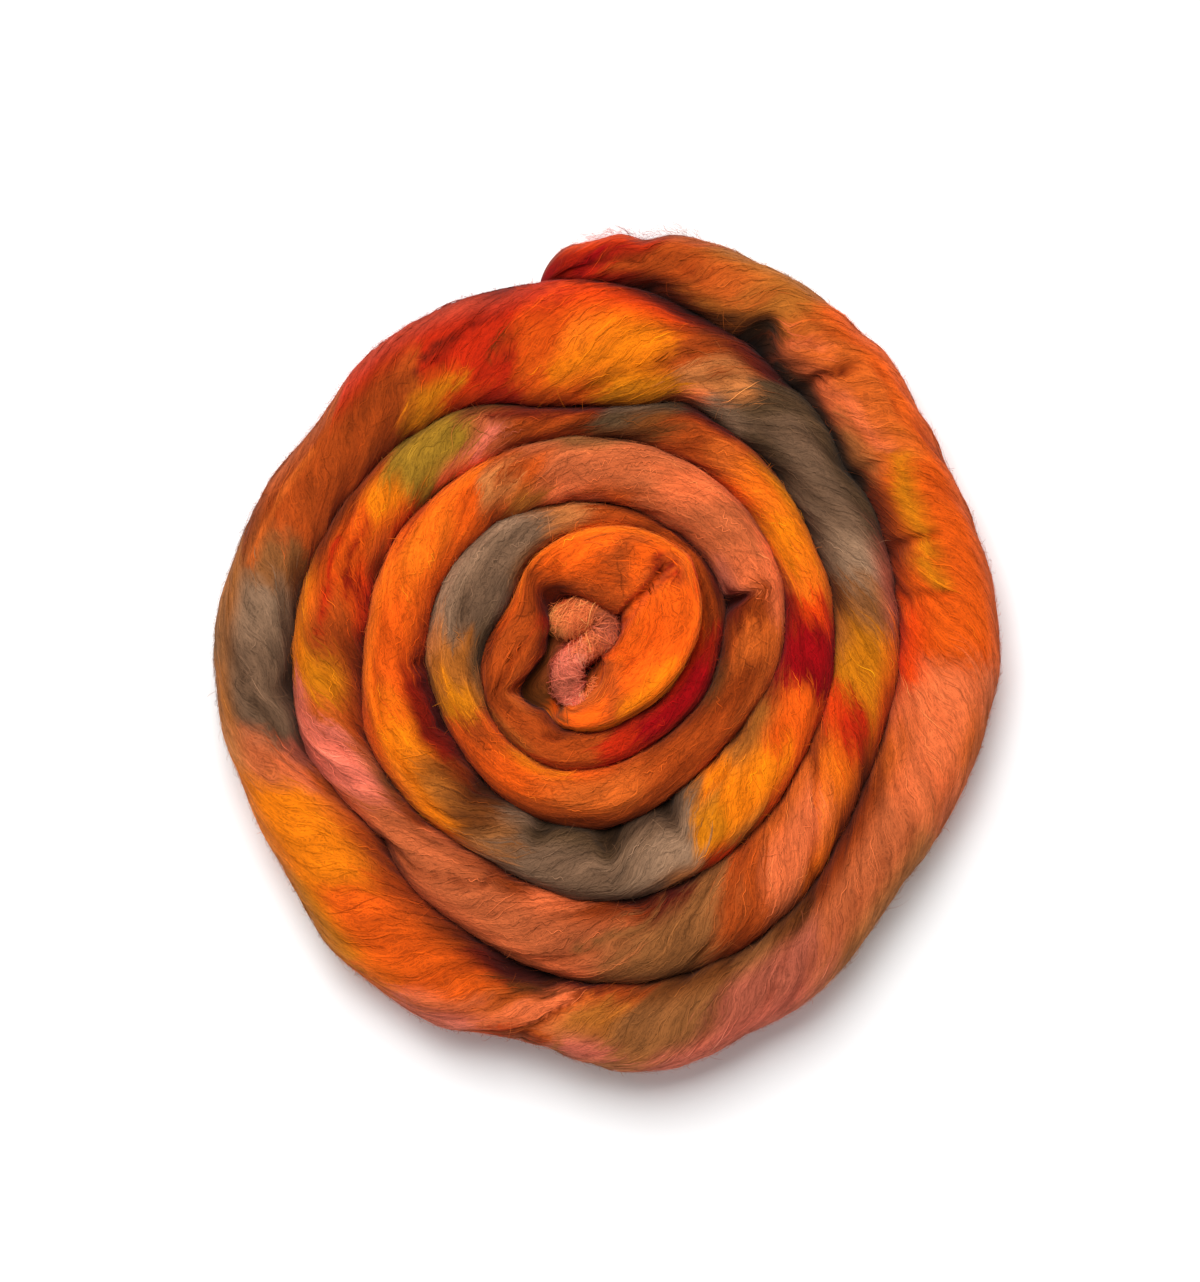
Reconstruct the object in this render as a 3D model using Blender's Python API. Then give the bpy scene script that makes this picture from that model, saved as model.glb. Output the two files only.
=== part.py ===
"""A hand-dyed wool roving: one long combed strand, wound flat into a spiral that lies on a table.

The strand starts at the eye of the winding and runs anticlockwise, six turns and a little more, to an
outer end that is laid against the turn before it. Every turn is pressed against its neighbours, so the
whole winding follows from the crevices between the turns: the strand fills the room between one
crevice and the next, with a crown above and a flat rest below.

Tables and named sizes are in millimetres and degrees, and meshes are in metres. +Z is up, the rest face
is at Z = 0, and the origin is the middle of the footprint. A place along the strand is a turn and a
clock angle, anticlockwise from +X as seen from above: its winding angle is 360 * turn + clock.
"""

from typing import NamedTuple

import bpy
import numpy as np

MM = 0.001
FULL_TURN = 360.0

# ---------------------------------------------------------------------------- driving dimensions

EYE_X = -2.85                 # the eye of the winding, from the middle of the footprint
EYE_Y = -1.2
INNER_END_DEG = 75.0          # winding angle of the strand's inner end
OUTER_END_DEG = 2259.0        # and of its outer end
SECTION_STEP_DEG = 6.0        # one cross-section each 6 degrees, at the same angles in every turn
TURN_GAP = 0.7                # free width of a crevice, so that the turns stay apart
CREVICE_LEVEL = 30.0          # height at which the crevices below are read
END_ROUNDING_DEG = (24.0, 9.0)    # how far the inner and the outer end are rounded off
END_CROWN = 0.5               # share of the crown that is left at the very end

# How far each crevice lies from the eye: a row for each turn, a column for each 30 degrees of clock.
# From the outer end on, where no turn lies outside, a crevice is the outline of the winding.
CLOCK_STEP_DEG = 30.0
CREVICES = (
    # 0      30     60     90    120    150    180    210    240    270    300    330
    (2.0,   2.0,   2.0,   2.0,   2.0,   2.0,   2.0,   2.0,   2.0,   2.0,   2.0,   2.0),
    (2.4,   6.0,  16.8,  19.6,  27.2,  23.2,  23.2,  33.6,  33.6,  30.4,  28.4,  30.8),
    (36.8,  47.2,  54.4,  52.8,  48.8,  41.6,  47.6,  50.0,  49.6,  45.2,  42.0,  44.0),
    (48.4,  55.6,  58.4,  61.2,  66.0,  68.8,  69.2,  67.6,  68.8,  68.8,  63.2,  63.2),
    (72.0,  80.0,  84.0,  87.2,  90.0,  93.6,  94.4,  97.6,  93.6,  98.4,  95.2,  91.6),
    (94.0,  97.2, 103.2, 100.4, 113.2, 119.2, 123.2, 118.8, 121.2, 131.6, 130.0, 118.8),
    (119.6, 124.8, 135.6, 149.6, 152.4, 150.0, 154.0, 152.4, 160.8, 164.4, 161.2, 153.2),
    (159.6, 158.4, 168.4, 166.0, 152.0, 152.0, 152.0, 152.0, 152.0, 152.0, 152.0, 152.0),
)


class Swing(NamedTuple):
    """A short stretch where a crevice, or the outline, swings outwards from its smooth course."""

    turn: int
    clock: float
    out: float
    spread: float


class Lean(NamedTuple):
    """How far the foot of a crevice lies inside its top, where one turn leans over the next."""

    turn: int
    clock: float
    overhang: float


class Crown(NamedTuple):
    """The height of the strand's crown above the table."""

    turn: int
    clock: float
    height: float


class Notch(NamedTuple):
    """A pocket beside the strand, where the top of its inner (-1) or outer (+1) side draws back."""

    turn: int
    clock: float
    side: int
    depth: float
    spread: float


class Crease(NamedTuple):
    """A trough across the crown that starts at the outer side and drifts on towards the inner side."""

    turn: int
    clock: float
    drift: float
    depth: float
    spread: float


SWINGS = (
    Swing(1, 205.0, 3.0, 9.0),
    Swing(4, 196.0, 1.6, 10.0),
    Swing(5, 72.0, 5.0, 7.0),
    Swing(5, 104.0, -2.4, 8.0),
    Swing(5, 196.0, 3.2, 8.0),
    Swing(5, 218.0, -4.0, 9.0),
    Swing(6, 38.0, -3.6, 6.0),
    Swing(6, 142.0, -4.4, 9.0),
    Swing(6, 228.0, 2.0, 8.0),
    Swing(6, 258.0, -6.4, 8.0),
    Swing(6, 280.0, 3.6, 7.0),
    Swing(6, 318.0, -2.8, 8.0),
    Swing(7, 46.0, 2.0, 6.0),
    Swing(7, 78.0, 2.4, 8.0),
    Swing(7, 99.0, -4.0, 6.0),
)

LEANS = (
    Lean(1, 270.0, 0.0),
    Lean(1, 300.0, 3.0),
    Lean(2, 0.0, 7.0),
    Lean(2, 30.0, 10.0),
    Lean(2, 60.0, 11.0),
    Lean(2, 90.0, 8.0),
    Lean(2, 120.0, 3.0),
    Lean(2, 150.0, 0.0),
)

CROWNS = (
    Crown(0, 75.0, 22.0),
    Crown(0, 130.0, 25.0),
    Crown(0, 190.0, 21.0),
    Crown(0, 225.0, 24.0),
    Crown(0, 270.0, 30.0),
    Crown(1, 0.0, 35.0),
    Crown(1, 42.0, 36.0),
    Crown(1, 56.0, 31.0),
    Crown(1, 90.0, 34.0),
    Crown(1, 150.0, 31.0),
    Crown(1, 240.0, 30.0),
    Crown(1, 300.0, 28.0),
    Crown(2, 0.0, 26.0),
    Crown(2, 60.0, 24.0),
    Crown(2, 100.0, 27.0),
    Crown(2, 150.0, 33.0),
    Crown(2, 220.0, 33.0),
    Crown(2, 300.0, 30.0),
    Crown(3, 20.0, 31.0),
    Crown(3, 60.0, 33.0),
    Crown(3, 180.0, 34.0),
    Crown(3, 270.0, 33.0),
    Crown(3, 320.0, 34.0),
    Crown(4, 60.0, 30.0),
    Crown(4, 180.0, 33.0),
    Crown(4, 270.0, 35.0),
    Crown(4, 330.0, 33.0),
    Crown(5, 45.0, 31.0),
    Crown(5, 100.0, 36.0),
    Crown(5, 142.0, 32.0),
    Crown(5, 225.0, 35.0),
    Crown(5, 300.0, 36.0),
    Crown(6, 0.0, 36.0),
    Crown(6, 60.0, 35.0),
    Crown(6, 85.0, 30.0),
    Crown(6, 99.0, 24.0),
)

NOTCHES = (
    Notch(0, 186.0, 1, 5.0, 9.0),
    Notch(0, 252.0, 1, 3.0, 9.0),
    Notch(1, 50.0, -1, 6.0, 6.0),
    Notch(1, 140.0, -1, 7.0, 10.0),
    Notch(3, 22.0, -1, 9.0, 4.0),
    Notch(3, 229.0, -1, 2.4, 4.0),
    Notch(3, 251.0, -1, 3.2, 4.0),
    Notch(3, 273.0, -1, 7.5, 5.0),
    Notch(3, 295.0, -1, 3.6, 4.0),
    Notch(4, 72.0, 1, 2.0, 5.0),
    Notch(6, 21.0, -1, 5.5, 4.0),
    Notch(6, 32.0, -1, 5.0, 3.5),
    Notch(6, 48.0, -1, 4.5, 4.0),
    Notch(6, 62.0, -1, 8.0, 4.5),
)

CREASES = (
    Crease(0, 188.0, 8.0, 4.0, 9.0),
    Crease(1, 50.0, 0.0, 6.0, 6.0),
    Crease(1, 203.0, 14.0, 3.0, 8.0),
    Crease(2, 170.0, 12.0, 2.0, 8.0),
    Crease(3, 24.0, 6.0, 3.0, 6.0),
    Crease(3, 120.0, 14.0, 1.5, 7.0),
    Crease(3, 256.0, 10.0, 2.5, 6.0),
    Crease(3, 276.0, 8.0, 3.0, 6.0),
    Crease(3, 298.0, 14.0, 2.5, 6.0),
    Crease(4, 10.0, 16.0, 1.6, 7.0),
    Crease(4, 92.0, 14.0, 2.0, 6.0),
    Crease(4, 122.0, 10.0, 1.8, 6.0),
    Crease(4, 222.0, 16.0, 2.2, 6.0),
    Crease(4, 284.0, 24.0, 3.4, 5.0),
    Crease(4, 318.0, 22.0, 2.6, 5.0),
    Crease(5, 16.0, 18.0, 2.6, 5.0),
    Crease(5, 60.0, 26.0, 3.6, 5.0),
    Crease(5, 92.0, 20.0, 2.6, 5.0),
    Crease(5, 130.0, 18.0, 3.0, 5.0),
    Crease(5, 190.0, 18.0, 3.0, 5.0),
    Crease(5, 252.0, 12.0, 4.0, 5.0),
    Crease(5, 270.0, 18.0, 3.2, 5.0),
    Crease(5, 306.0, 22.0, 3.6, 5.0),
    Crease(5, 340.0, 18.0, 2.6, 5.0),
    Crease(6, 20.0, 6.0, 3.4, 4.0),
    Crease(6, 34.0, 4.0, 3.0, 4.0),
    Crease(6, 50.0, 4.0, 3.4, 4.5),
    Crease(6, 66.0, 6.0, 4.0, 5.0),
)

# Half of the strand's cross-section, from the middle of its rest face up one side to the crown:
# (share of the crown's height, share of the strand's half-width).
HALF_SECTION = (
    (0.00, 0.58),
    (0.09, 0.86),
    (0.30, 1.00),
    (0.58, 1.00),
    (0.79, 0.86),
    (0.92, 0.62),
    (0.98, 0.33),
)
CROWN_TOP = (1.00, 0.0)
CREASE_FROM_LEVEL = 0.5       # creases fade out down the sides, from the crown to this level
NOTCH_FROM_LEVEL = 0.1        # and notches to this one, so that a pocket has a floor of wool

WOOL_COLOUR = (0.78, 0.24, 0.06, 1.0)
WOOL_ROUGHNESS = 0.95


# ---------------------------------------------------------------------------- shape functions

def clear_scene():
    """Remove whatever objects the scene holds."""
    for old in list(bpy.data.objects):
        bpy.data.objects.remove(old, do_unlink=True)


def winding_angle(row):
    """Winding angle in degrees of a table row's turn and clock."""
    return FULL_TURN * row.turn + row.clock


def bell(distance, spread):
    """A bell of height 1 that has faded at about two spreads on either side."""
    return np.exp(-(distance / spread) ** 2)


def through_points(angle, values):
    """Catmull-Rom curve through values that stand CLOCK_STEP_DEG apart, from winding angle 0."""
    place = np.asarray(angle, float) / CLOCK_STEP_DEG
    start = np.clip(place.astype(int), 0, len(values) - 2)
    t = place - start
    before = values[np.maximum(start - 1, 0)]
    first = values[start]
    second = values[start + 1]
    after = values[np.minimum(start + 2, len(values) - 1)]
    linear = second - before
    square = 2 * before - 5 * first + 4 * second - after
    cube = 3 * first - before - 3 * second + after
    return first + 0.5 * (linear * t + square * t**2 + cube * t**3)


def eased(angle, rows, values):
    """Values of table rows, eased smoothly from each row to the next along the strand."""
    knots = np.array([winding_angle(row) for row in rows])
    levels = np.array(values, float)
    place = np.interp(angle, knots, np.arange(len(rows)))
    start = np.minimum(place.astype(int), len(rows) - 2)
    t = place - start
    return levels[start] + (levels[start + 1] - levels[start]) * t * t * (3 - 2 * t)


def crevice(angle):
    """Distance from the eye to the crevice at a winding angle, swings included."""
    distance = through_points(angle, np.array(CREVICES).ravel())
    for swing in SWINGS:
        distance = distance + swing.out * bell(angle - winding_angle(swing), swing.spread)
    return distance


def overhang(angle):
    """How far the foot of the crevice at a winding angle lies inside its top."""
    return eased(angle, LEANS, [row.overhang for row in LEANS])


def notch_depth(angle, side):
    """How far the given side of the strand draws back at a winding angle."""
    depth = np.zeros_like(angle)
    for notch in NOTCHES:
        if notch.side == side:
            depth = depth + notch.depth * bell(angle - winding_angle(notch), notch.spread)
    return depth


def crease_depth(angle, across):
    """How far the creases lower the crown, across running from -1 inside to +1 outside."""
    depth = np.zeros(np.broadcast(angle, across).shape)
    for crease in CREASES:
        middle = winding_angle(crease) + crease.drift * (1.0 - across) / 2
        depth = depth + crease.depth * bell(angle - middle, crease.spread)
    return depth


def end_rounding(angle):
    """Share of the full width that is left where the strand's two ends are rounded off."""
    inner, outer = END_ROUNDING_DEG
    from_inner = np.clip((angle - INNER_END_DEG) / inner, 0.02, 1.0)
    from_outer = np.clip((OUTER_END_DEG - angle) / outer, 0.02, 1.0)
    nearest = np.minimum(from_inner, from_outer)
    return np.sqrt(nearest * (2.0 - nearest))


def fading_down(level, foot):
    """Share that is 1 at the crown and fades to 0 at the foot level, quickly at first."""
    return np.clip((level - foot) / (1.0 - foot), 0.0, 1.0) ** 0.5


def closed_section():
    """Levels and signed breadths once around the section: rest face, outer side, crown, inner side."""
    outer = list(HALF_SECTION)
    inner = [(level, -breadth) for level, breadth in reversed(HALF_SECTION)]
    return np.array(outer + [CROWN_TOP] + inner).T


def strand_points():
    """Points of every cross-section, as an array of sections x points x XYZ, in metres."""
    count = round((OUTER_END_DEG - INNER_END_DEG) / SECTION_STEP_DEG) + 1
    angle = np.linspace(INNER_END_DEG, OUTER_END_DEG, count)[:, None]
    level, breadth = closed_section()
    rounding = end_rounding(angle)

    crown = eased(angle, CROWNS, [row.height for row in CROWNS])
    crown = crown * (END_CROWN + (1.0 - END_CROWN) * rounding)
    creased = fading_down(level, CREASE_FROM_LEVEL)
    notched = fading_down(level, NOTCH_FROM_LEVEL)
    height = level * crown - creased * rounding * crease_depth(angle, breadth)

    below_read = 1.0 - height / CREVICE_LEVEL
    half_gap = TURN_GAP / 2
    inside = crevice(angle) + half_gap - overhang(angle) * below_read
    outside = crevice(angle + FULL_TURN) - half_gap - overhang(angle + FULL_TURN) * below_read
    inside = inside + notched * notch_depth(angle, -1)
    outside = outside - notched * notch_depth(angle, 1)
    middle = (inside + outside) / 2
    distance = middle + breadth * rounding * (outside - inside) / 2

    clock = np.radians(angle)
    x = EYE_X + distance * np.cos(clock)
    y = EYE_Y + distance * np.sin(clock)
    return np.stack([x, y, height], axis=2) * MM


def strand_faces(sections, around):
    """Quads between neighbouring sections, and one face over each end."""
    faces = []
    for section in range(sections - 1):
        for point in range(around):
            low = section * around + point
            low_next = section * around + (point + 1) % around
            faces.append((low, low + around, low_next + around, low_next))
    last = (sections - 1) * around
    faces.append(tuple(range(around)))
    faces.append(tuple(reversed(range(last, last + around))))
    return faces


# ---------------------------------------------------------------------------- pieces and finish

def wool_material():
    """Dyed wool, matt all over."""
    material = bpy.data.materials.new("dyed_wool")
    material.use_nodes = True
    surface = material.node_tree.nodes["Principled BSDF"]
    surface.inputs["Base Color"].default_value = WOOL_COLOUR
    surface.inputs["Roughness"].default_value = WOOL_ROUGHNESS
    surface.inputs["Metallic"].default_value = 0.0
    material.diffuse_color = WOOL_COLOUR
    return material


def make_roving():
    """The wound strand as one closed solid."""
    points = strand_points()
    sections, around = points.shape[:2]
    mesh = bpy.data.meshes.new("roving")
    mesh.from_pydata(points.reshape(-1, 3).tolist(), [], strand_faces(sections, around))
    mesh.validate()
    mesh.shade_smooth()
    mesh.materials.append(wool_material())
    roving = bpy.data.objects.new("roving", mesh)
    bpy.context.scene.collection.objects.link(roving)
    return roving


def main():
    """Clear the scene and make the roving."""
    clear_scene()
    make_roving()


main()
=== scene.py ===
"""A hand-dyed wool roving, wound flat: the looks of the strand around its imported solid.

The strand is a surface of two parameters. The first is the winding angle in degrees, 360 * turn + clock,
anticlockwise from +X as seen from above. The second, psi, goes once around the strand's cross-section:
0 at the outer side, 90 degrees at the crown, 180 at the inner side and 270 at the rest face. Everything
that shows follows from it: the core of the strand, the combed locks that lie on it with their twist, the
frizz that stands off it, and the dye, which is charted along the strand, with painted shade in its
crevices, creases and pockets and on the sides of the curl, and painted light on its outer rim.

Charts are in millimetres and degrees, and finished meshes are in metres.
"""

import logging
from dataclasses import dataclass, replace
from enum import Enum
from functools import cached_property
from typing import NamedTuple

import bpy
import numpy as np
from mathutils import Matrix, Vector

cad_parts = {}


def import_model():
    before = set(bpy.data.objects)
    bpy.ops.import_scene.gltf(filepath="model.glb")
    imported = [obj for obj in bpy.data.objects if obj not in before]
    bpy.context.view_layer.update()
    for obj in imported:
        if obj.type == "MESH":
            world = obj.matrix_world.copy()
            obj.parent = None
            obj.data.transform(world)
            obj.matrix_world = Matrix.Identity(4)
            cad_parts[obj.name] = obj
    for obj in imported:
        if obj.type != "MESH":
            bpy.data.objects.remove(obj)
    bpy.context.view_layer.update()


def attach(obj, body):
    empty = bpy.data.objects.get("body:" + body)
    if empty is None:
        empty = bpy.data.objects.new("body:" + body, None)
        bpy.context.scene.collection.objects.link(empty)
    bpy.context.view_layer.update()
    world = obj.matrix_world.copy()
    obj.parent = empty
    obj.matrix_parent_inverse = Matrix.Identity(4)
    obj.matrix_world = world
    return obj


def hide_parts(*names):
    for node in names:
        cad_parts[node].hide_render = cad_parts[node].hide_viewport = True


LOG = logging.getLogger("roving")
Array = np.ndarray
Socket = bpy.types.NodeSocket
Pair = tuple[float, float]
Triple = tuple[float, float, float]

MM = 0.001
FULL_TURN = 360.0
NODE = "roving"
BODY = "root"
GOLDEN = 0.61803398875  # spreads any number of places evenly

# ------------------------------------------------------------------------------------ dyes


class Dye(Enum):
    """The dyed colours that the strand shows in full light, as sRGB numbers from 0 to 255."""

    TANGERINE = (246, 112, 18)
    ORANGE = (226, 86, 12)
    AMBER = (240, 122, 8)
    GOLD = (212, 120, 10)
    FLAME = (226, 64, 6)
    SCARLET = (186, 36, 6)
    CRIMSON = (150, 4, 10)
    GARNET = (142, 26, 4)
    MAROON = (100, 24, 8)
    COPPER = (204, 92, 28)
    RUST = (172, 68, 16)
    BRICK = (134, 50, 8)
    SALMON = (236, 112, 60)
    ROSE = (238, 116, 90)
    MAUVE = (176, 88, 64)
    CLAY = (192, 94, 50)
    TAUPE = (152, 116, 88)
    SLATE = (114, 84, 62)
    MOSS = (84, 60, 38)
    OLIVE = (158, 114, 30)
    TAN = (200, 118, 60)
    HAZEL = (146, 88, 44)
    UMBER = (112, 58, 20)
    OCHRE = (176, 98, 32)

    @property
    def linear(self) -> Array:
        """The colour as scene-linear numbers."""
        srgb = np.array(self.value) / 255.0
        return np.where(srgb <= 0.04045, srgb / 12.92, ((srgb + 0.055) / 1.055) ** 2.4)


TG, OR, AM, GO, FL, SC, CR, GA, MN, CO, RU, BR, SA, RO, MA, CL, TP, SL, MO, OL, TN, HZ, UM, OC = Dye

# ------------------------------------------------------------------------------------ charts


def charted(row: type, *turns: tuple) -> tuple:
    """The rows of a chart. Each turn stands once, before the other columns of its rows."""
    return tuple(row(turn, *cells) for turn, *rows in turns for cells in rows)


class Mark(NamedTuple):
    """A dyed stretch: where its middle lies, and its dye at the inner side, the crown and the outer side."""

    turn: int
    clock: float
    inner: Dye
    crown: Dye
    outer: Dye


class Level(NamedTuple):
    """One value of something that changes slowly along the strand."""

    turn: int
    clock: float
    value: float


class Swing(NamedTuple):
    """A short stretch where a crevice, or the outline, swings outwards from its smooth course."""

    turn: int
    clock: float
    out: float
    spread: float


class Notch(NamedTuple):
    """A pocket beside the strand, where the top of its inner (-1) or outer (+1) side draws back."""

    turn: int
    clock: float
    side: int
    depth: float
    spread: float


class Fold(NamedTuple):
    """A trough in the wool, from one clock angle and place across the strand to another, in mm deep.

    The place across is 1 at the outer side and -1 at the inner side. The bow, in mm, bends the
    trough's middle towards later clock angles.
    """

    turn: int
    clock: float
    across: float
    to_clock: float
    to_across: float
    depth: float
    width: float
    bow: float = 0.0


class Streak(NamedTuple):
    """A streak of one dye, between two places like a fold's, and how far it reaches to its sides, in mm."""

    turn: int
    clock: float
    across: float
    to_clock: float
    to_across: float
    dye: Dye
    width: float


class Ripple(NamedTuple):
    """A layer of noise: its height, how far apart its waves lie along and across, and its seed."""

    height: float
    along: float
    across: float
    seed: int


class CurlPoint(NamedTuple):
    """A point of the curled inner end, from the eye of the winding, with the tube's radius."""

    x: float
    y: float
    z: float
    radius: float


# Some marks paint shade or light rather than dye: the dark outer side of turn 4 from 97 to 119 degrees and
# of turn 5 at 66 degrees is painted shadow under the next turn, the umber of turn 0 up to 218 degrees is
# painted shadow under the curl, the dark inner side at (3, 18) and (6, 63) is painted shade of pockets, and
# the light inner side of turn 2 from 5 to 85 degrees is painted light.
DYE_CHART = charted(
    Mark,
    (0, (75, UM, RU, UM), (150, UM, CL, UM), (218, UM, UM, UM), (237, CO, OR, TG), (252, CO, OR, AM),
     (285, RU, RU, AM), (315, RU, OR, AM), (340, OR, OR, AM)),
    (1, (0, OR, OR, OR), (25, OR, OR, TG), (44, OR, OR, FL), (52, OR, RU, TG), (60, RU, OR, TG),
     (75, RU, RU, TG), (92, RU, OR, TG), (115, BR, OR, TG), (140, MN, BR, TG), (152, GA, RU, OR),
     (170, BR, RU, BR), (185, RU, RU, RU), (205, CO, BR, BR), (225, BR, RU, OC), (245, BR, RU, CO),
     (262, RU, RU, RU), (280, GA, SC, SC), (297, GA, SC, SC), (312, GA, CR, GA), (345, SC, CR, CR)),
    (2, (5, FL, GA, GA), (20, OR, BR, BR), (32, OR, BR, MN), (60, TG, BR, MN), (85, TG, RU, BR),
     (105, OC, TN, TN), (122, HZ, SL, TP), (150, SL, SL, TP), (165, MO, SL, TP), (180, MO, OC, TN),
     (187, HZ, OC, OC), (198, OC, GO, GO), (212, OR, RU, OR), (235, AM, OR, OR), (258, OR, CO, RU),
     (280, RU, CO, BR), (300, BR, RU, RU), (322, BR, RU, RU), (345, UM, BR, CO)),
    (3, (5, BR, CO, CO), (18, MN, BR, SA), (28, MA, SA, SA), (45, CL, CL, CL), (62, CL, SA, SA),
     (80, RU, CL, CL), (98, SA, CL, HZ), (113, OC, RU, CL), (122, RU, TN, RU), (131, OR, OR, TG),
     (150, OR, TG, OR), (170, OR, OR, TG), (186, GA, OR, TG), (202, GA, AM, OR), (218, BR, OC, TG),
     (230, UM, UM, AM), (240, SL, HZ, TN), (249, MO, SL, TP), (265, MO, SL, SL), (285, SL, TP, TP),
     (297, SL, TP, TN), (303, HZ, GO, FL), (312, AM, AM, OC), (325, OC, AM, OR), (338, OC, OR, OR),
     (349, RU, OR, OR), (355, CR, CR, CR)),
    (4, (2, CR, CR, CR), (11, GA, FL, SC), (20, RU, TG, TG), (32, AM, AM, AM), (46, OR, TG, GO),
     (57, RU, CO, RU), (67, RU, RU, MN), (78, UM, UM, MO), (88, UM, MO, SL), (97, RU, BR, MN),
     (108, BR, RU, MN), (119, SA, CL, UM), (126, SA, OL, OL), (134, OL, OL, OL), (143, OR, AM, RU),
     (152, RU, OR, BR), (162, FL, OR, BR), (174, BR, RU, AM), (186, RU, GO, AM), (193, RU, CO, RO),
     (199, CL, RO, RO), (207, UM, RO, RO), (216, BR, CL, SA), (226, CL, CL, CL), (245, BR, CL, SA),
     (254, SA, CL, SA), (265, BR, CL, SA), (280, MN, HZ, HZ), (290, HZ, HZ, HZ), (302, RU, RU, RU),
     (312, CO, SA, CL), (322, CO, SA, TG), (332, RU, TG, RU), (343, FL, SC, BR), (354, GO, GO, OR)),
    (5, (3, OC, GO, TG), (11, UM, HZ, MA), (19, SL, TP, MA), (33, SL, SL, MO), (48, MO, SL, MO),
     (59, TP, MO, MO), (66, SA, TN, MN), (73, GO, RU, BR), (84, GO, AM, FL), (94, OR, TG, FL),
     (101, OR, OR, SC), (109, SC, SC, SC), (116, FL, SC, SC), (121, AM, SC, SC), (124, GO, RU, SC),
     (133, BR, BR, SC), (142, RU, RU, RU), (155, RU, RU, RU), (163, UM, HZ, BR), (171, SL, TP, OC),
     (182, SL, SL, HZ), (190, SL, SL, OC), (197, MA, CL, TN), (204, CO, AM, AM), (215, RU, AM, AM),
     (228, RU, OR, GO), (238, BR, OR, TG), (246, MN, OR, RO), (254, MN, CO, RO), (261, MN, SA, CO),
     (268, RU, OC, RO), (276, UM, HZ, TN), (284, UM, HZ, RO), (292, HZ, MA, RO), (302, UM, MA, RO),
     (315, BR, CL, TN), (330, BR, CL, TN), (340, CO, SA, SA), (349, SA, SA, CO), (356, FL, SA, SA)),
    (6, (3, FL, OR, OR), (11, OR, OR, OR), (18, RU, OR, OR), (27, RU, OR, OR), (37, TN, CO, OR),
     (47, SA, CO, OR), (55, CL, CO, OR), (63, UM, OC, OC), (70, OC, CO, OC), (79, BR, RU, RU),
     (87, SC, GA, GA), (94, SC, GA, FL), (100, CR, CR, GA)),
)

CLOCK_STEP_DEG = 30.0
# How far each crevice lies from the eye: a row for each turn, a column for each 30 degrees of clock.
CREVICES = (
    # 0      30     60     90    120    150    180    210    240    270    300    330
    (2.0,   2.0,   2.0,   2.0,   2.0,   2.0,   2.0,   2.0,   2.0,   2.0,   2.0,   2.0),
    (2.4,   6.0,  16.8,  19.6,  27.2,  23.2,  23.2,  33.6,  33.6,  30.4,  28.4,  30.8),
    (36.8,  47.2,  54.4,  52.8,  48.8,  41.6,  47.6,  50.0,  49.6,  45.2,  42.0,  44.0),
    (48.4,  55.6,  58.4,  61.2,  66.0,  68.8,  69.2,  67.6,  68.8,  68.8,  63.2,  63.2),
    (72.0,  80.0,  84.0,  87.2,  90.0,  93.6,  94.4,  97.6,  93.6,  98.4,  95.2,  91.6),
    (94.0,  97.2, 103.2, 100.4, 113.2, 119.2, 123.2, 118.8, 121.2, 131.6, 130.0, 118.8),
    (119.6, 124.8, 135.6, 149.6, 152.4, 150.0, 154.0, 152.4, 160.8, 164.4, 161.2, 153.2),
    (159.6, 158.4, 168.4, 166.0, 152.0, 152.0, 152.0, 152.0, 152.0, 152.0, 152.0, 152.0),
)

SWINGS = charted(
    Swing,
    (1, (205, 3, 9), (226, -3, 8)),
    (2, (50, 2, 12)),
    (4, (196, 1.6, 10)),
    (5, (72, 5, 7), (104, -2.4, 8), (196, 3.2, 8), (218, -4, 9)),
    (6, (38, -3.6, 6), (142, -4.4, 9), (228, 2, 8), (258, -6.4, 8), (280, 3.6, 7), (318, -2.8, 8)),
    (7, (46, 2, 6), (78, 2.4, 8), (87.5, 1.6, 2.2), (51, -1.6, 2.5), (84, -2.2, 2.5)),
    (6, (252, -1, 3), (262, -1.6, 3), (275, 1, 4)),
)

# How far the foot of a crevice lies inside its top, where one turn leans over the next.
OVERHANGS = charted(
    Level,
    (1, (270, 0), (300, 3)),
    (2, (0, 7), (30, 10), (60, 11), (90, 8), (120, 3), (150, 0)),
)

# The height of the crown.
CROWNS = charted(
    Level,
    (0, (75, 12), (150, 13), (229, 12), (240, 26), (262, 31)),
    (1, (0, 35), (44, 37), (56, 32), (90, 34), (150, 31), (240, 30), (300, 28)),
    (2, (0, 26), (60, 24), (100, 27), (150, 33), (220, 33), (300, 30)),
    (3, (20, 31), (60, 33), (180, 34), (270, 33), (320, 34)),
    (4, (60, 30), (180, 33), (270, 35), (330, 33)),
    (5, (45, 31), (100, 36), (142, 32), (225, 35), (300, 36)),
    (6, (0, 36), (60, 35), (85, 30), (99, 24)),
)

# How far the crown's highest line is moved from the strand's middle, as a share of its half-width.
SKEWS = charted(
    Level,
    (0, (230, 0.1), (280, 0.3)),
    (1, (0, 0.32), (40, 0.3), (60, 0.34), (110, 0.3), (200, 0.05)),
    (2, (0, 0), (120, -0.1), (300, -0.1)),
    (3, (30, 0.05), (120, 0.2)),
    (4, (0, 0.12)),
    (5, (60, 0), (100, -0.08), (200, 0)),
    (6, (0, 0), (99, 0)),
)

# The fibres' angle to the strand's own direction: they drift from the outer to the inner side.
TWISTS = charted(
    Level,
    (0, (230, 4)),
    (1, (0, 7), (120, 4), (180, -4), (230, 7)),
    (2, (0, 3), (150, 8), (300, 7)),
    (3, (30, 10), (90, 16), (125, 24), (170, 13), (230, 22), (285, 32), (320, 22)),
    (4, (20, 14), (70, 24), (130, 26), (200, 30), (250, 26), (310, 33)),
    (5, (0, 28), (60, 32), (100, 29), (140, 25), (180, 24), (230, 28), (280, 33), (330, 31)),
    (6, (0, 32), (20, 38), (60, 34), (99, 24)),
)

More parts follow.
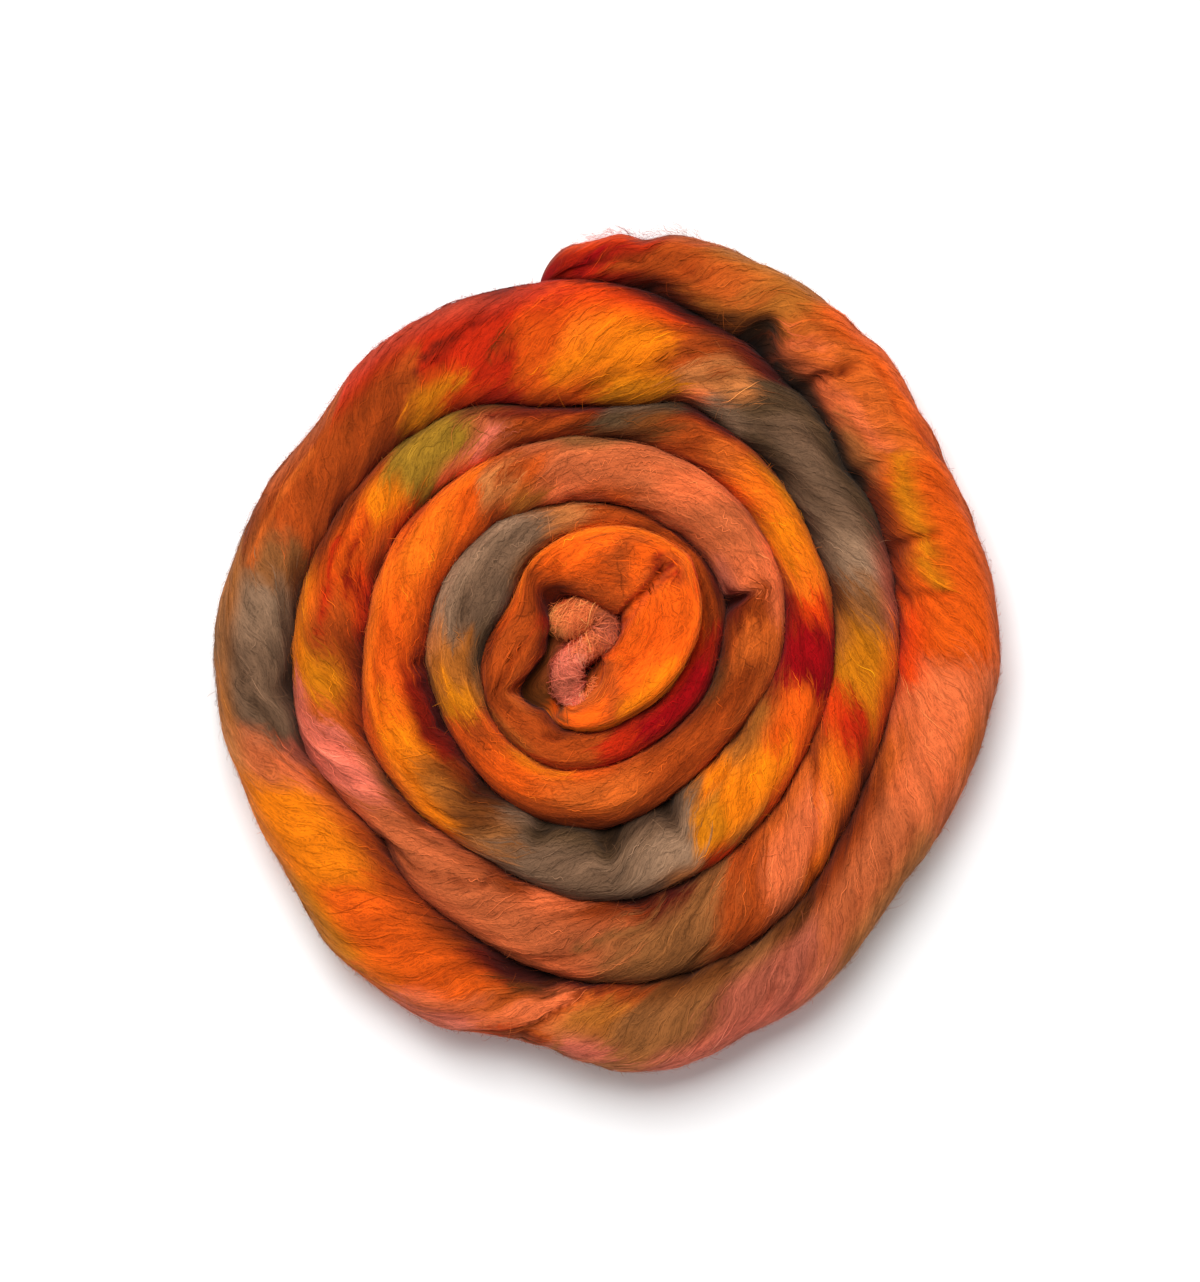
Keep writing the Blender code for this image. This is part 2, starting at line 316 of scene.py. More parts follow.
# How far the border between two dyes runs ahead at the inner side, in degrees for half the width.
SLANTS = charted(
    Level,
    (0, (230, 1)),
    (1, (0, 2)),
    (2, (0, 2), (190, 4)),
    (3, (30, 3), (90, 4), (125, 8), (160, 4), (240, 4), (300, 3)),
    (4, (30, 2), (90, 4), (130, 4), (200, 6), (250, 5), (300, 8), (345, 7)),
    (5, (15, 4), (65, 6), (100, 2), (140, 3), (195, 4), (240, 5), (290, 7), (340, 3)),
    (6, (0, 2), (99, 2)),
)

# The share of a charted dye that the wool throws back: less in the outer turns, which lie in full light.
STRENGTHS = charted(
    Level,
    (0, (230, 0.92)),
    (1, (20, 0.9), (70, 0.94), (190, 0.86), (260, 0.74), (300, 0.72)),
    (2, (100, 0.74)),
    (3, (60, 0.78)),
    (4, (0, 0.74), (180, 0.72)),
    (5, (0, 0.69)),
    (6, (99, 0.71)),
)

# How open the outer side lies, from 0 beside a turn as high as the strand to 1 at the outer rim; it squares
# the section there and takes away the painted crevice shade of that side.
OPENNESS = charted(
    Level,
    (0, (230, 1.5)),
    (1, (0, 1.5), (60, 0.7), (130, 0.5), (220, 0.35), (262, 0.9), (325, 0.9), (350, 0.4)),
    (2, (30, 0), (200, 0.2), (250, 0.7), (298, 0.6), (312, 0), (335, 0.7)),
    (3, (0, 0.6), (30, 0), (235, 0.2), (255, 0.9), (340, 0.8)),
    (4, (20, 0), (190, 0.8), (218, 0.8), (260, 0.8), (300, 0.7), (330, 0)),
    (5, (108, 0), (140, 1)),
    (6, (99, 1)),
)

# How far the painted shade of the crevice reaches up the inner side, as a multiple of its usual reach; it
# also draws the top of the inner side back where it is above 1, and forward where it is below.
SHADES = charted(
    Level,
    (0, (230, 1)),
    (1, (350, 1)),
    (2, (10, 0.7), (110, 0.7), (140, 1)),
    (3, (5, 1), (20, 1.3), (35, 1), (112, 1), (125, 1.1), (140, 1), (168, 1.3), (185, 1.9), (230, 1.9),
     (242, 1.3), (270, 1.4), (294, 1.7), (304, 1.1)),
    (4, (118, 1), (140, 1.3), (160, 1.1), (186, 1.6), (200, 1.2), (274, 1.1), (283, 1.7), (296, 1.5),
     (306, 1)),
    (5, (2, 1), (14, 1.4), (48, 1.6), (60, 1.1), (130, 1), (178, 1.2), (186, 1.7), (194, 1.1), (206, 1.4),
     (254, 1.5), (268, 1.2), (300, 1.4), (318, 1.6), (342, 1.2)),
    (6, (2, 1.1), (22, 1.5), (50, 1.8), (86, 1.6), (99, 1.1)),
)

NOTCHES = charted(
    Notch,
    (0, (236, -1, 14, 16), (258, -1, 12, 26)),
    (1, (53, -1, 3, 5), (132, -1, 7.5, 10), (201, -1, 4.5, 5)),
    (3, (22, -1, 8, 2.5), (100, -1, 1.2, 3), (183, -1, 2.6, 3), (190, -1, 2, 2.5), (205, -1, 2.6, 3),
     (228, -1, 2.8, 3), (251, -1, 4, 3.5), (273, -1, 9.5, 4.5), (294, -1, 7, 3.5), (330, -1, 2, 5)),
    (4, (72, 1, 2, 5), (104, 1, 1.5, 10), (160, -1, 1.8, 4), (176, -1, 2, 3.5), (280, -1, 3.6, 4),
     (222, 1, 0.9, 5)),
    (5, (74, -1, 1.6, 3), (197, -1, 2, 4), (255, -1, 3.4, 6), (261, -1, 2.4, 2.4), (186, -1, 3, 3)),
    (4, (94, 1, 2, 6)),
    (5, (57, 1, 3, 8), (75, 1, 4.5, 7)),
    (6, (10, -1, 2, 2.5), (34, -1, 1.6, 24), (20, -1, 3, 2), (34.5, -1, 1.4, 2), (52, -1, 3, 3),
     (63, -1, 9, 2.9), (82, -1, 3, 4)),
)

FOLDS = charted(
    Fold,
    (0, (318, -0.2, 356, -0.35, 1.6, 2.6)),
    (1, (53, 0.48, 54, 0.1, 4.6, 1.7), (54, 0.3, 55, -0.4, 4.2, 1.8), (55, -0.3, 64, -1, 3.6, 2.2),
     (112, 0.4, 124, -1, 1.2, 3), (158, 0.72, 186, 0.8, 1.8, 1.4), (168, -0.35, 204, 0.3, 2.6, 1.8),
     (234, -0.2, 245, -0.6, 3, 2.4)),
    (2, (148, 0.5, 174, -0.3, 1.6, 2), (236, 0.45, 300, 0.55, 0.9, 2.2), (300, 0.4, 330, 0.1, 1, 2.5),
     (322, -0.3, 350, 0.1, 1.2, 2)),
    (3, (8, -0.5, 21, -0.4, 1.8, 2.2), (12, 0.1, 19, -0.4, 1.6, 2), (36, 0.8, 46, -0.6, 0.7, 4),
     (110, 0.4, 130, -0.9, 1.6, 2.6), (180, 0.65, 200, 0.35, 2, 1.6), (200, 0.35, 225, 0.6, 2, 1.6),
     (268, 0.3, 273, -0.2, 1.5, 2.2), (294, -0.3, 302, 0.3, 1.8, 2.2), (302, -0.55, 330, -0.6, 1.8, 1.6)),
    (4, (20, 0.5, 48, 0.25, 0.8, 2.4), (88, 0.9, 97, -0.9, 1, 2.4), (148, 0.7, 160, 0.3, 1.4, 1.4),
     (150, -0.1, 172, -0.9, 1.6, 1.6), (182, 0.1, 192, -0.5, 1.4, 1.6), (191, 0.5, 205, -0.3, 1.4, 1.8),
     (219, 0.95, 232, 0.35, 2.4, 1.7), (232, 0.35, 236, -0.05, 2.4, 1.6), (236, -0.05, 243, -0.2, 2.4, 1.6),
     (243, -0.2, 244, -0.8, 2.2, 1.7), (258, 0.8, 283, -0.6, 1.4, 2), (287, 0.7, 293, 0.4, 1.8, 1.6),
     (284, 1, 308, -1, 0.8, 2.4), (313, 0.9, 322, 0.2, 2.2, 2), (322, 0.2, 335, -0.8, 2.4, 2)),
    (5, (12, 0.8, 24, -0.8, 0.9, 2.6), (28, 0, 47, -0.95, 1.4, 2.4), (71, 0.15, 95, -0.85, 2.4, 1.8),
     (108, 0.6, 119, 0.1, 1.6, 2), (140, 0.5, 168, 0.25, 1.2, 1.8), (114, 0.2, 126, -0.16, 2.4, 1.6),
     (140, 0.85, 166, 0.5, 1.8, 1.4), (146, 0.2, 164, -0.1, 1, 1.6), (178, 0.6, 199, -0.9, 2, 2.4),
     (206, 0.8, 216, -0.6, 0.9, 2.6), (228, 0.8, 240, -0.6, 0.9, 2.6), (249, 0.4, 257, -0.4, 1.4, 2),
     (257.5, 1, 265.5, -0.65, 2.4, 2.6), (283, 0.9, 293, -0.9, 1.2, 2.2), (295, 0.5, 304, -0.55, 2.2, 2.2),
     (304, -0.55, 312, -0.9, 2.8, 2.2), (317, 0.75, 328, -0.15, 1.6, 1.5), (300, 0.1, 336, 0.45, 0.9, 2.2)),
    (6, (8, -0.1, 34, 0, 2, 2.5), (19.5, 0.1, 20.5, -0.9, 2.4, 2.4), (33.5, 0.2, 35.5, -0.9, 1.3, 2.6),
     (48.5, 0.25, 53, -0.95, 3.4, 2.6, -1), (9.5, 0.1, 11, -0.8, 1.8, 2.4), (40, 0.1, 60, -0.1, 1.2, 2.5),
     (62, 0.3, 53, 0.45, 1.6, 1.8), (47, 0.6, 38, 0.5, 2.2, 1.8), (36, 0.7, 29, 0.95, 1.8, 1.8),
     (41, 0.1, 36, 0.6, 1.4, 2), (97, -0.8, 90, -0.1, 3.4, 1.8), (91, -0.15, 83, -0.05, 2.6, 1.8),
     (83, 0.3, 74, -0.3, 1.4, 1.8)),
)

# Several dark streaks paint shade rather than dye: those along the creases at (1, 52.5), (4, 266), (5,
# 257.5) and (6, 49), those in and beside the pockets at (0, 234), (3, 12), (5, 254) and (6, 61.5), the moss
# along the inner crevice of turn 6 from 32 to 58 degrees, and the maroon at the outer side of turn 4 from
# 104 to 116 and of turn 5 from 64 to 91 degrees, which is painted shadow under the next turn.
STREAKS = charted(
    Streak,
    (0, (234, -0.6, 256, -0.3, BR, 2.2), (296, 0.62, 346, 0.45, AM, 3.6)),
    (1, (52.5, 0.52, 53.5, 0.25, GA, 1.5)),
    (2, (40, -0.35, 52, -0.3, RU, 2.2)),
    (3, (12, 0.1, 17, -0.4, BR, 2.4), (206, 0.4, 229, 0.62, AM, 2.8), (186, -0.55, 212, -0.65, GA, 2.8)),
    (4, (117, -0.1, 123, -0.7, RO, 3.2), (104, 0.55, 116, 0.45, MN, 2.4), (150, 0.12, 169, -0.3, GA, 1.3),
     (164, -0.15, 168, -0.85, GA, 2.2), (156, 0.55, 176, 0.1, SC, 1.2), (266, 0.2, 283, -0.8, HZ, 2.8)),
    (5, (63, 0.15, 73, -0.45, TN, 3.6), (79, 0.25, 98, -0.5, AM, 5.6), (76, -0.55, 88, -0.75, GO, 3.2),
     (64, 1, 91, 0.97, MN, 2.8), (106, 0.25, 109, -0.15, BR, 2.4), (109, 0.55, 117, 0.32, GA, 1.5),
     (116, 0.35, 127, -0.12, MN, 1.5), (119, -0.45, 126, -0.52, GO, 4.4), (122, 0.35, 136, -0.1, RU, 4),
     (124, 0.02, 137, 0.1, BR, 1.8), (146, 0.62, 164, 0.45, CO, 1.8), (198, -0.35, 204, -0.6, SA, 2.8),
     (219, 0.85, 231, 0.8, GO, 2.8), (242, 0.75, 252, 0.1, SA, 3.6), (253, 0.75, 264, -0.7, SA, 3),
     (254, 0.98, 260, 0.55, FL, 2.6), (257.5, 1, 265.5, -0.65, BR, 2), (260.5, 0.7, 267.5, -0.75, CO, 1.8),
     (263, 0.95, 272, -0.6, OC, 3), (266.5, 0.72, 269.5, 0.62, RO, 4.6)),
    (6, (12, -0.15, 18, -0.35, GO, 4.4), (22, -0.3, 27, -0.3, GO, 4.6), (27, -0.25, 33, 0.05, GO, 4.8)),
    (5, (254, -0.55, 262, -0.85, UM, 2.4)),
    (6, (36, -0.2, 46, -0.45, SA, 3), (54, 0, 59, -0.5, SA, 2.8), (49, 0.05, 52, -0.7, BR, 2.6),
     (32, -1, 58, -0.98, MO, 1.4), (61.5, -0.85, 64.5, -0.95, MO, 2.4), (77, 0.2, 87, -0.35, RU, 3.8),
     (86, 0.9, 91, 0.8, FL, 2.6), (89.5, 0.35, 93.5, -0.5, CR, 3.8)),
)

# The soft relief of the strand: two layers of lumps, then two of cords along the fibres.
LUMPS = (Ripple(0.55, 17.0, 9.0, 3), Ripple(0.35, 9.0, 5.0, 4))
CORDS = (Ripple(0.60, 40.0, 4.6, 5), Ripple(0.30, 20.0, 2.2, 6))
# How the borders between two dyes are feathered, in mm along the strand, and how the dye is mottled.
BORDERS = (Ripple(3.0, 24.0, 1.3, 21), Ripple(5.4, 12.0, 6.0, 22))
MOTTLE = (Ripple(0.16, 16.0, 3.5, 23), Ripple(0.16, 9.0, 2.0, 24))
# The curled end's lumps and mottle: along it in mm, and around it in radians.
CURL_LUMPS = (Ripple(0.8, 5.0, 0.625, 11), Ripple(0.4, 2.4, 0.3125, 12))
CURL_MOTTLE = (Ripple(0.30, 4.0, 0.4, 31), Ripple(0.22, 2.0, 0.2, 32))

CURL_PATH = (
    CurlPoint(-2.0, -8.4, 17.5, 1.8),
    CurlPoint(-1.0, -12.0, 18.5, 2.4),
    CurlPoint(-2.6, -15.8, 18.5, 3.0),
    CurlPoint(-6.0, -18.0, 17.5, 3.9),
    CurlPoint(-10.0, -17.6, 17.0, 5.2),
    CurlPoint(-13.2, -12.8, 17.5, 6.2),
    CurlPoint(-13.0, -6.2, 18.0, 6.2),
    CurlPoint(-9.6, -0.6, 18.5, 5.6),
    CurlPoint(-4.0, 3.6, 18.5, 5.2),
    CurlPoint(1.4, 8.0, 18.0, 5.4),
    CurlPoint(1.6, 13.4, 17.5, 5.2),
    CurlPoint(-3.2, 16.4, 18.0, 6.0),
    CurlPoint(-9.2, 15.4, 18.5, 7.4),
    CurlPoint(-14.8, 13.0, 17.0, 6.6),
    CurlPoint(-18.4, 9.2, 12.0, 3.6),
)

# ------------------------------------------------------------------------------------ helpers


def eased(t: Array) -> Array:
    """Smooth step from 0 to 1: 3 t squared less 2 t cubed, with t held between 0 and 1."""
    t = np.clip(t, 0.0, 1.0)
    return t * t * (3.0 - 2.0 * t)


def bell(distance: Array, spread: float) -> Array:
    """A bell of height 1: e to the power of minus the squared distance in spreads."""
    return np.exp(-((distance / spread) ** 2))


def noise(x: Array, y: Array, seed: int) -> Array:
    """Smooth noise between -1 and 1, with random values at whole x and y, eased in between.

    Args:
        x: First coordinate, in lattice steps.
        y: Second coordinate, in lattice steps.
        seed: Picks one of many noises.

    Returns:
        The noise at each place.
    """
    size = 128
    lattice = np.random.default_rng(seed).uniform(-1.0, 1.0, (size, size))
    left, low = np.floor(x).astype(int), np.floor(y).astype(int)
    across, up = eased(x - left), eased(y - low)
    left, low = left % size, low % size
    right, high = (left + 1) % size, (low + 1) % size
    below = lattice[left, low] * (1 - across) + lattice[right, low] * across
    above = lattice[left, high] * (1 - across) + lattice[right, high] * across
    return below * (1 - up) + above * up


def rippled(layers: tuple[Ripple, ...], along: Array, across: Array) -> Array:
    """The sum of some layers of noise at places along and across."""
    return sum(layer.height * noise(along / layer.along, across / layer.across, layer.seed)
               for layer in layers)


def unit(vectors: Array) -> Array:
    """Vectors of length 1 with the same headings."""
    return vectors / np.maximum(np.linalg.norm(vectors, axis=-1, keepdims=True), 1e-9)


def through(before: Array, first: Array, second: Array, after: Array, t: Array) -> Array:
    """A Catmull-Rom curve between the two middle ones of four knots, at a share t of the way."""
    square = 2 * before - 5 * first + 4 * second - after
    cube = 3 * first - before - 3 * second + after
    return first + 0.5 * ((second - before) * t + square * t**2 + cube * t**3)


def winding_angle(turn: float, clock: float) -> float:
    """Winding angle in degrees of a turn and a clock angle."""
    return FULL_TURN * turn + clock


def along_chart(angle: Array, chart: tuple[Level, ...]) -> Array:
    """Values of a chart, eased smoothly from each of its rows to the next along the strand."""
    knots = np.array([winding_angle(row.turn, row.clock) for row in chart])
    values = np.array([row.value for row in chart], float)
    place = np.interp(angle, knots, np.arange(len(chart)))
    start = np.minimum(place.astype(int), len(chart) - 2)
    return values[start] + (values[start + 1] - values[start]) * eased(place - start)


# ------------------------------------------------------------------------------------ surfaces


@dataclass(frozen=True)
class Winding:
    """The wound strand as a surface, in millimetres from the middle of its footprint.

    The strand fills the room between one crevice and the next. Its section is a rounded crown over a
    flat rest, and folds and soft lumps are laid on it along its own normal. The start, the end, beyond,
    the roundings and fold_reach are in degrees; the eye, the gap, crevice_level, shade_slope and both
    depths are in mm; all the rest are shares and powers.
    """

    eye_x: float = -2.85
    eye_y: float = -1.2
    start: float = 75.0
    end: float = 2259.0
    beyond: float = 20.0
    gap: float = -1.2
    crevice_level: float = 30.0
    widest_level: float = 0.46
    side_power: float = 0.80
    open_square: float = 0.20
    crown_power: float = 0.74
    rest_share: float = 0.85
    rest_power: float = 1.6
    flank_power: float = 0.8
    notch_rise: float = 1.6
    start_rounding: float = 24.0
    end_rounding: float = 5.2
    end_crown: float = 0.42
    blunt: float = 0.02
    tail_lean: float = 0.8
    shade_slope: float = 1.6
    # The next field sets how far up the sides the painted crevice shade reaches, as a share of the crown's
    # height.
    shade_height: float = 0.44
    fold_reach: float = 25.0
    fold_fade: float = 3.0
    fold_tip: float = 0.35
    puff: float = 0.34
    puff_width: float = 2.6
    relief_reach: float = 0.8
    shade_reach: float = 0.8
    # From here to the level margin, the fields shape the painted shade that fold() gives the colour.
    side_reach: float = 2.0
    pocket_depth: float = 12.0
    pocket_shade: float = 0.05
    crease_depth: float = 4.0
    crease_shade: Pair = (-0.15, 0.8)
    deepest_shade: float = 1.6
    level_margin: float = 0.02
    around_step: float = 0.02

    @cached_property
    def ruler(self) -> tuple[Array, Array, Array]:
        """Winding angles one degree apart, with the length and the twist's drift up to each, in mm."""
        angle = np.arange(self.start - self.beyond, self.end + self.beyond + 1.0)
        step = np.radians(1.0) * self.middle(angle)
        drift = step * np.tan(np.radians(along_chart(angle, TWISTS)))
        return angle, np.cumsum(step), np.cumsum(drift)

    def length_at(self, angle: Array) -> Array:
        """Length of strand up to a winding angle, in mm."""
        return np.interp(angle, self.ruler[0], self.ruler[1])

    def drift_at(self, angle: Array) -> Array:
        """How far a fibre has gone round the strand up to a winding angle, in mm."""
        return np.interp(angle, self.ruler[0], self.ruler[2])

    def angle_at(self, length: Array) -> Array:
        """Winding angle at a length of strand."""
        return np.interp(length, self.ruler[1], self.ruler[0])

    def crevice(self, angle: Array) -> Array:
        """Distance from the eye to a crevice: a Catmull-Rom curve through its chart, and the swings."""
        chart = np.array(CREVICES).ravel()
        place = np.asarray(angle, float) / CLOCK_STEP_DEG
        start = np.clip(place.astype(int), 0, len(chart) - 2)
        before, after = chart[np.maximum(start - 1, 0)], chart[np.minimum(start + 2, len(chart) - 1)]
        distance = through(before, chart[start], chart[start + 1], after, place - start)
        for swing in SWINGS:
            away = angle - winding_angle(swing.turn, swing.clock)
            distance = distance + swing.out * bell(away, swing.spread)
        return distance

    def middle(self, angle: Array) -> Array:
        """Distance from the eye to the strand's middle line."""
        return (self.crevice(angle) + self.crevice(angle + FULL_TURN)) / 2

    def width(self, angle: Array) -> Array:
        """Width of the strand between its two crevices."""
        return self.crevice(angle + FULL_TURN) - self.crevice(angle)

    def rounding(self, angle: Array) -> Array:
        """Share of the full section that is left where the two ends are rounded off."""
        first = np.clip((angle - self.start) / self.start_rounding, self.blunt, 1.0)
        last = np.clip((self.end - angle) / self.end_rounding, self.blunt, 1.0)
        nearest = np.minimum(first, last)
        return np.sqrt(nearest * (2.0 - nearest))

    def outline(self, angle: Array, psi: Array) -> tuple[Array, Array]:
        """The section's place across, from -1 to 1, and its share of the crown's height.

        Above the widest level it is a superellipse, squarer where its outer side lies open; below, it
        rounds in to a flat rest face.
        """
        cosine, sine = np.cos(psi), np.sin(psi)
        power = self.side_power - self.open_square * along_chart(angle, OPENNESS) * (cosine > 0)
        across = np.sign(cosine) * np.abs(cosine) ** power
        high = self.widest_level + (1 - self.widest_level) * np.abs(sine) ** self.crown_power
        sunk = np.minimum(1.0, np.abs(sine) / self.rest_share) ** self.rest_power
        low = self.widest_level * (1.0 - sunk) ** self.flank_power
        return across, np.where(sine >= 0, high, low) + np.zeros(np.shape(across))

    def bare(self, angle: Array, psi: Array) -> tuple[Array, Array, Array, Array]:
        """The section before any relief.

        Args:
            angle: Winding angle in degrees.
            psi: Place around the section in radians.

        Returns:
            Distance from the eye, height, place across and share of the crown's height.
        """
        across, level = self.outline(angle, psi)
        rounding = self.rounding(angle)
        crown = along_chart(angle, CROWNS) * (self.end_crown + (1 - self.end_crown) * rounding)
        height = level * crown
        skew = along_chart(angle, SKEWS) * np.clip(np.sin(psi), 0, 1)
        across = across + skew * (1 - across**2)
        notched = eased((level - self.widest_level) / (1 - self.widest_level) * self.notch_rise)
        foot = 1.0 - height / self.crevice_level
        inside = self.crevice(angle) + self.gap / 2 - along_chart(angle, OVERHANGS) * foot
        far = angle + FULL_TURN
        outside = self.crevice(far) - self.gap / 2 - along_chart(far, OVERHANGS) * foot
        inner, outer = self.drawn_back(angle)
        inside, outside = inside + notched * inner, outside - notched * outer
        half = (outside - inside) / 2
        tail = 1.0 - np.clip((self.end - angle) / self.end_rounding, 0.0, 1.0)
        distance = (inside + outside) / 2 + (across * rounding - self.tail_lean * tail**2) * half
        return distance, height, across, level

    def drawn_back(self, angle: Array) -> tuple[Array, Array]:
        """How far the tops of the inner and the outer side draw back from their crevices, in mm."""
        inner = self.shade_slope * (along_chart(angle, SHADES) - 1.0)
        outer = np.zeros(np.shape(angle))
        for notch in NOTCHES:
            depth = notch.depth * bell(angle - winding_angle(notch.turn, notch.clock), notch.spread)
            if notch.side < 0:
                inner = inner + depth
            else:
                outer = outer + depth
        return inner, outer

    def relief(self, angle: Array, psi: Array, across: Array) -> Array:
        """How far the surface stands off the bare section, in mm along its normal.

        A fold is a trough along a bowed line: a bell less a third of one 2.6 times as wide, so that the
        wool on both sides puffs up, fading out at both ends. Soft lumps are noise along the fibres.
        """
        angle, across, psi = np.broadcast_arrays(angle, across, psi)
        depth = np.zeros(angle.shape)
        for fold in FOLDS:
            first, last = winding_angle(fold.turn, fold.clock), winding_angle(fold.turn, fold.to_clock)
            near = np.abs(angle - (first + last) / 2) < abs(last - first) / 2 + self.fold_reach
            depth[near] += self.trough(fold, angle[near] - first, across[near], angle[near])
        length, around = self.fibre_coordinates(angle, psi)
        soft = rippled(LUMPS, length, around) + rippled(CORDS, length, around)
        upper = np.clip(np.sin(psi) + self.relief_reach, 0, 1)
        return (soft - depth) * upper * self.rounding(angle)

    def trough(self, fold: Fold, ahead: Array, across: Array, angle: Array) -> Array:
        """Depth of one fold in mm.

        Args:
            fold: The fold's row of the chart.
            ahead: How far past the fold's first clock angle each place lies, in degrees.
            across: Place across the strand, from -1 to 1.
            angle: Winding angle in degrees.

        Returns:
            The depth at each place.
        """
        share, forward, sideways = self.beside(fold, ahead, across, angle)
        off = np.hypot(forward - fold.bow * 4 * share * (1 - share), sideways)
        begun = eased(share * self.fold_fade + self.fold_tip)
        ended = eased((1 - share) * self.fold_fade + self.fold_tip)
        profile = bell(off, fold.width) - self.puff * bell(off, self.puff_width * fold.width)
        return fold.depth * begun * ended * profile

    def beside(self, line: Fold | Streak, ahead: Array, across: Array, angle: Array
               ) -> tuple[Array, Array, Array]:
        """Where places lie beside a line of a chart.

        Args:
            line: The chart's row.
            ahead: How far past the line's first clock angle each place lies, in degrees.
            across: Place across the strand, from -1 to 1.
            angle: Winding angle in degrees.

        Returns:
            The share of the line's length, and how far ahead and across the place lies off it, in mm.
        """
        middle = self.middle(angle)
        half = self.width(angle) / 2
        run = np.radians(line.to_clock - line.clock) * middle
        rise = (line.to_across - line.across) * half
        x = np.radians(ahead) * middle
        y = (across - line.across) * half
        share = np.clip((x * run + y * rise) / (run**2 + rise**2), 0.0, 1.0)
        return share, x - share * run, y - share * rise

    def fold(self, angle: Array, psi: Array) -> Array:
        """How much painted shade the colour takes: 0 on the crown, 1 at the sides and in creases, more in
        pockets.
        """
        _, _, across, level = self.bare(angle, psi)
        inner, outer = self.drawn_back(angle)
        outwards, inwards = eased(self.side_reach * np.cos(psi)), eased(-self.side_reach * np.cos(psi))
        drawn = np.clip(inner * inwards + outer * outwards, 0.0, self.pocket_depth)
        reach = self.shade_height * (1.0 + self.shade_reach * (along_chart(angle, SHADES) - 1.0) * inwards)
        # painted shade of the crevices, reaching up both sides, more in pockets and less where the outer
        # side lies open
        side = 1.0 - eased((level - self.widest_level + self.level_margin) / reach)
        side = side * (1.0 + self.pocket_shade * drawn) * (1.0 - along_chart(angle, OPENNESS) * outwards)
        # painted shade in the creases and hollows of the relief, added to it
        sunk = -self.relief(angle, psi, across) / self.crease_depth
        return np.clip(side + np.clip(sunk, *self.crease_shade), 0.0, self.deepest_shade)

    def fibre_coordinates(self, angle: Array, psi: Array) -> tuple[Array, Array]:
        """Length along a fibre and place around the strand counted across the fibres, both in mm."""
        around = psi * self.section_radius(angle) - self.drift_at(angle)
        return self.length_at(angle), around

    def section_radius(self, angle: Array) -> Array:
        """Radius of a circle about as long as the section is round."""
        return (self.width(angle) + along_chart(angle, CROWNS)) / 4

    def rates(self, angle: Array) -> tuple[Array, Array]:
        """How fast a fibre moves: degrees of winding and radians of psi for each mm of its length."""
        twist = np.radians(along_chart(angle, TWISTS))
        middle = self.middle(angle)
        return np.degrees(np.cos(twist) / middle), np.sin(twist) / self.section_radius(angle)

    def place(self, angle: Array, psi: Array, lift: Array) -> tuple[Array, Array]:
        """Points of the surface and their normals.

        Args:
            angle: Winding angle in degrees.
            psi: Place around the section in radians.
            lift: How far the point stands off the surface, in mm.

        Returns:
            Points in mm and unit normals, each with a last axis of X, Y and Z.
        """
        distance, height, across, level = self.bare(angle, psi)
        beside, above, _, _ = self.bare(angle, psi + self.around_step)
        run, rise = beside - distance, above - height
        size = np.maximum(np.hypot(run, rise), 1e-9)
        out, up = rise / size, -run / size
        off = self.relief(angle, psi, across) + lift
        distance = distance + out * off
        lowest = np.minimum(level * 20.0, 0.2)  # keeps the rest face flat on the ground
        height = np.maximum(height + up * off, lowest)
        clock = np.radians(angle)
        cosine, sine = np.cos(clock), np.sin(clock)
        points = np.stack([self.eye_x + distance * cosine, self.eye_y + distance * sine, height], -1)
        normals = np.stack([out * cosine, out * sine, up], -1)
        return points, normals


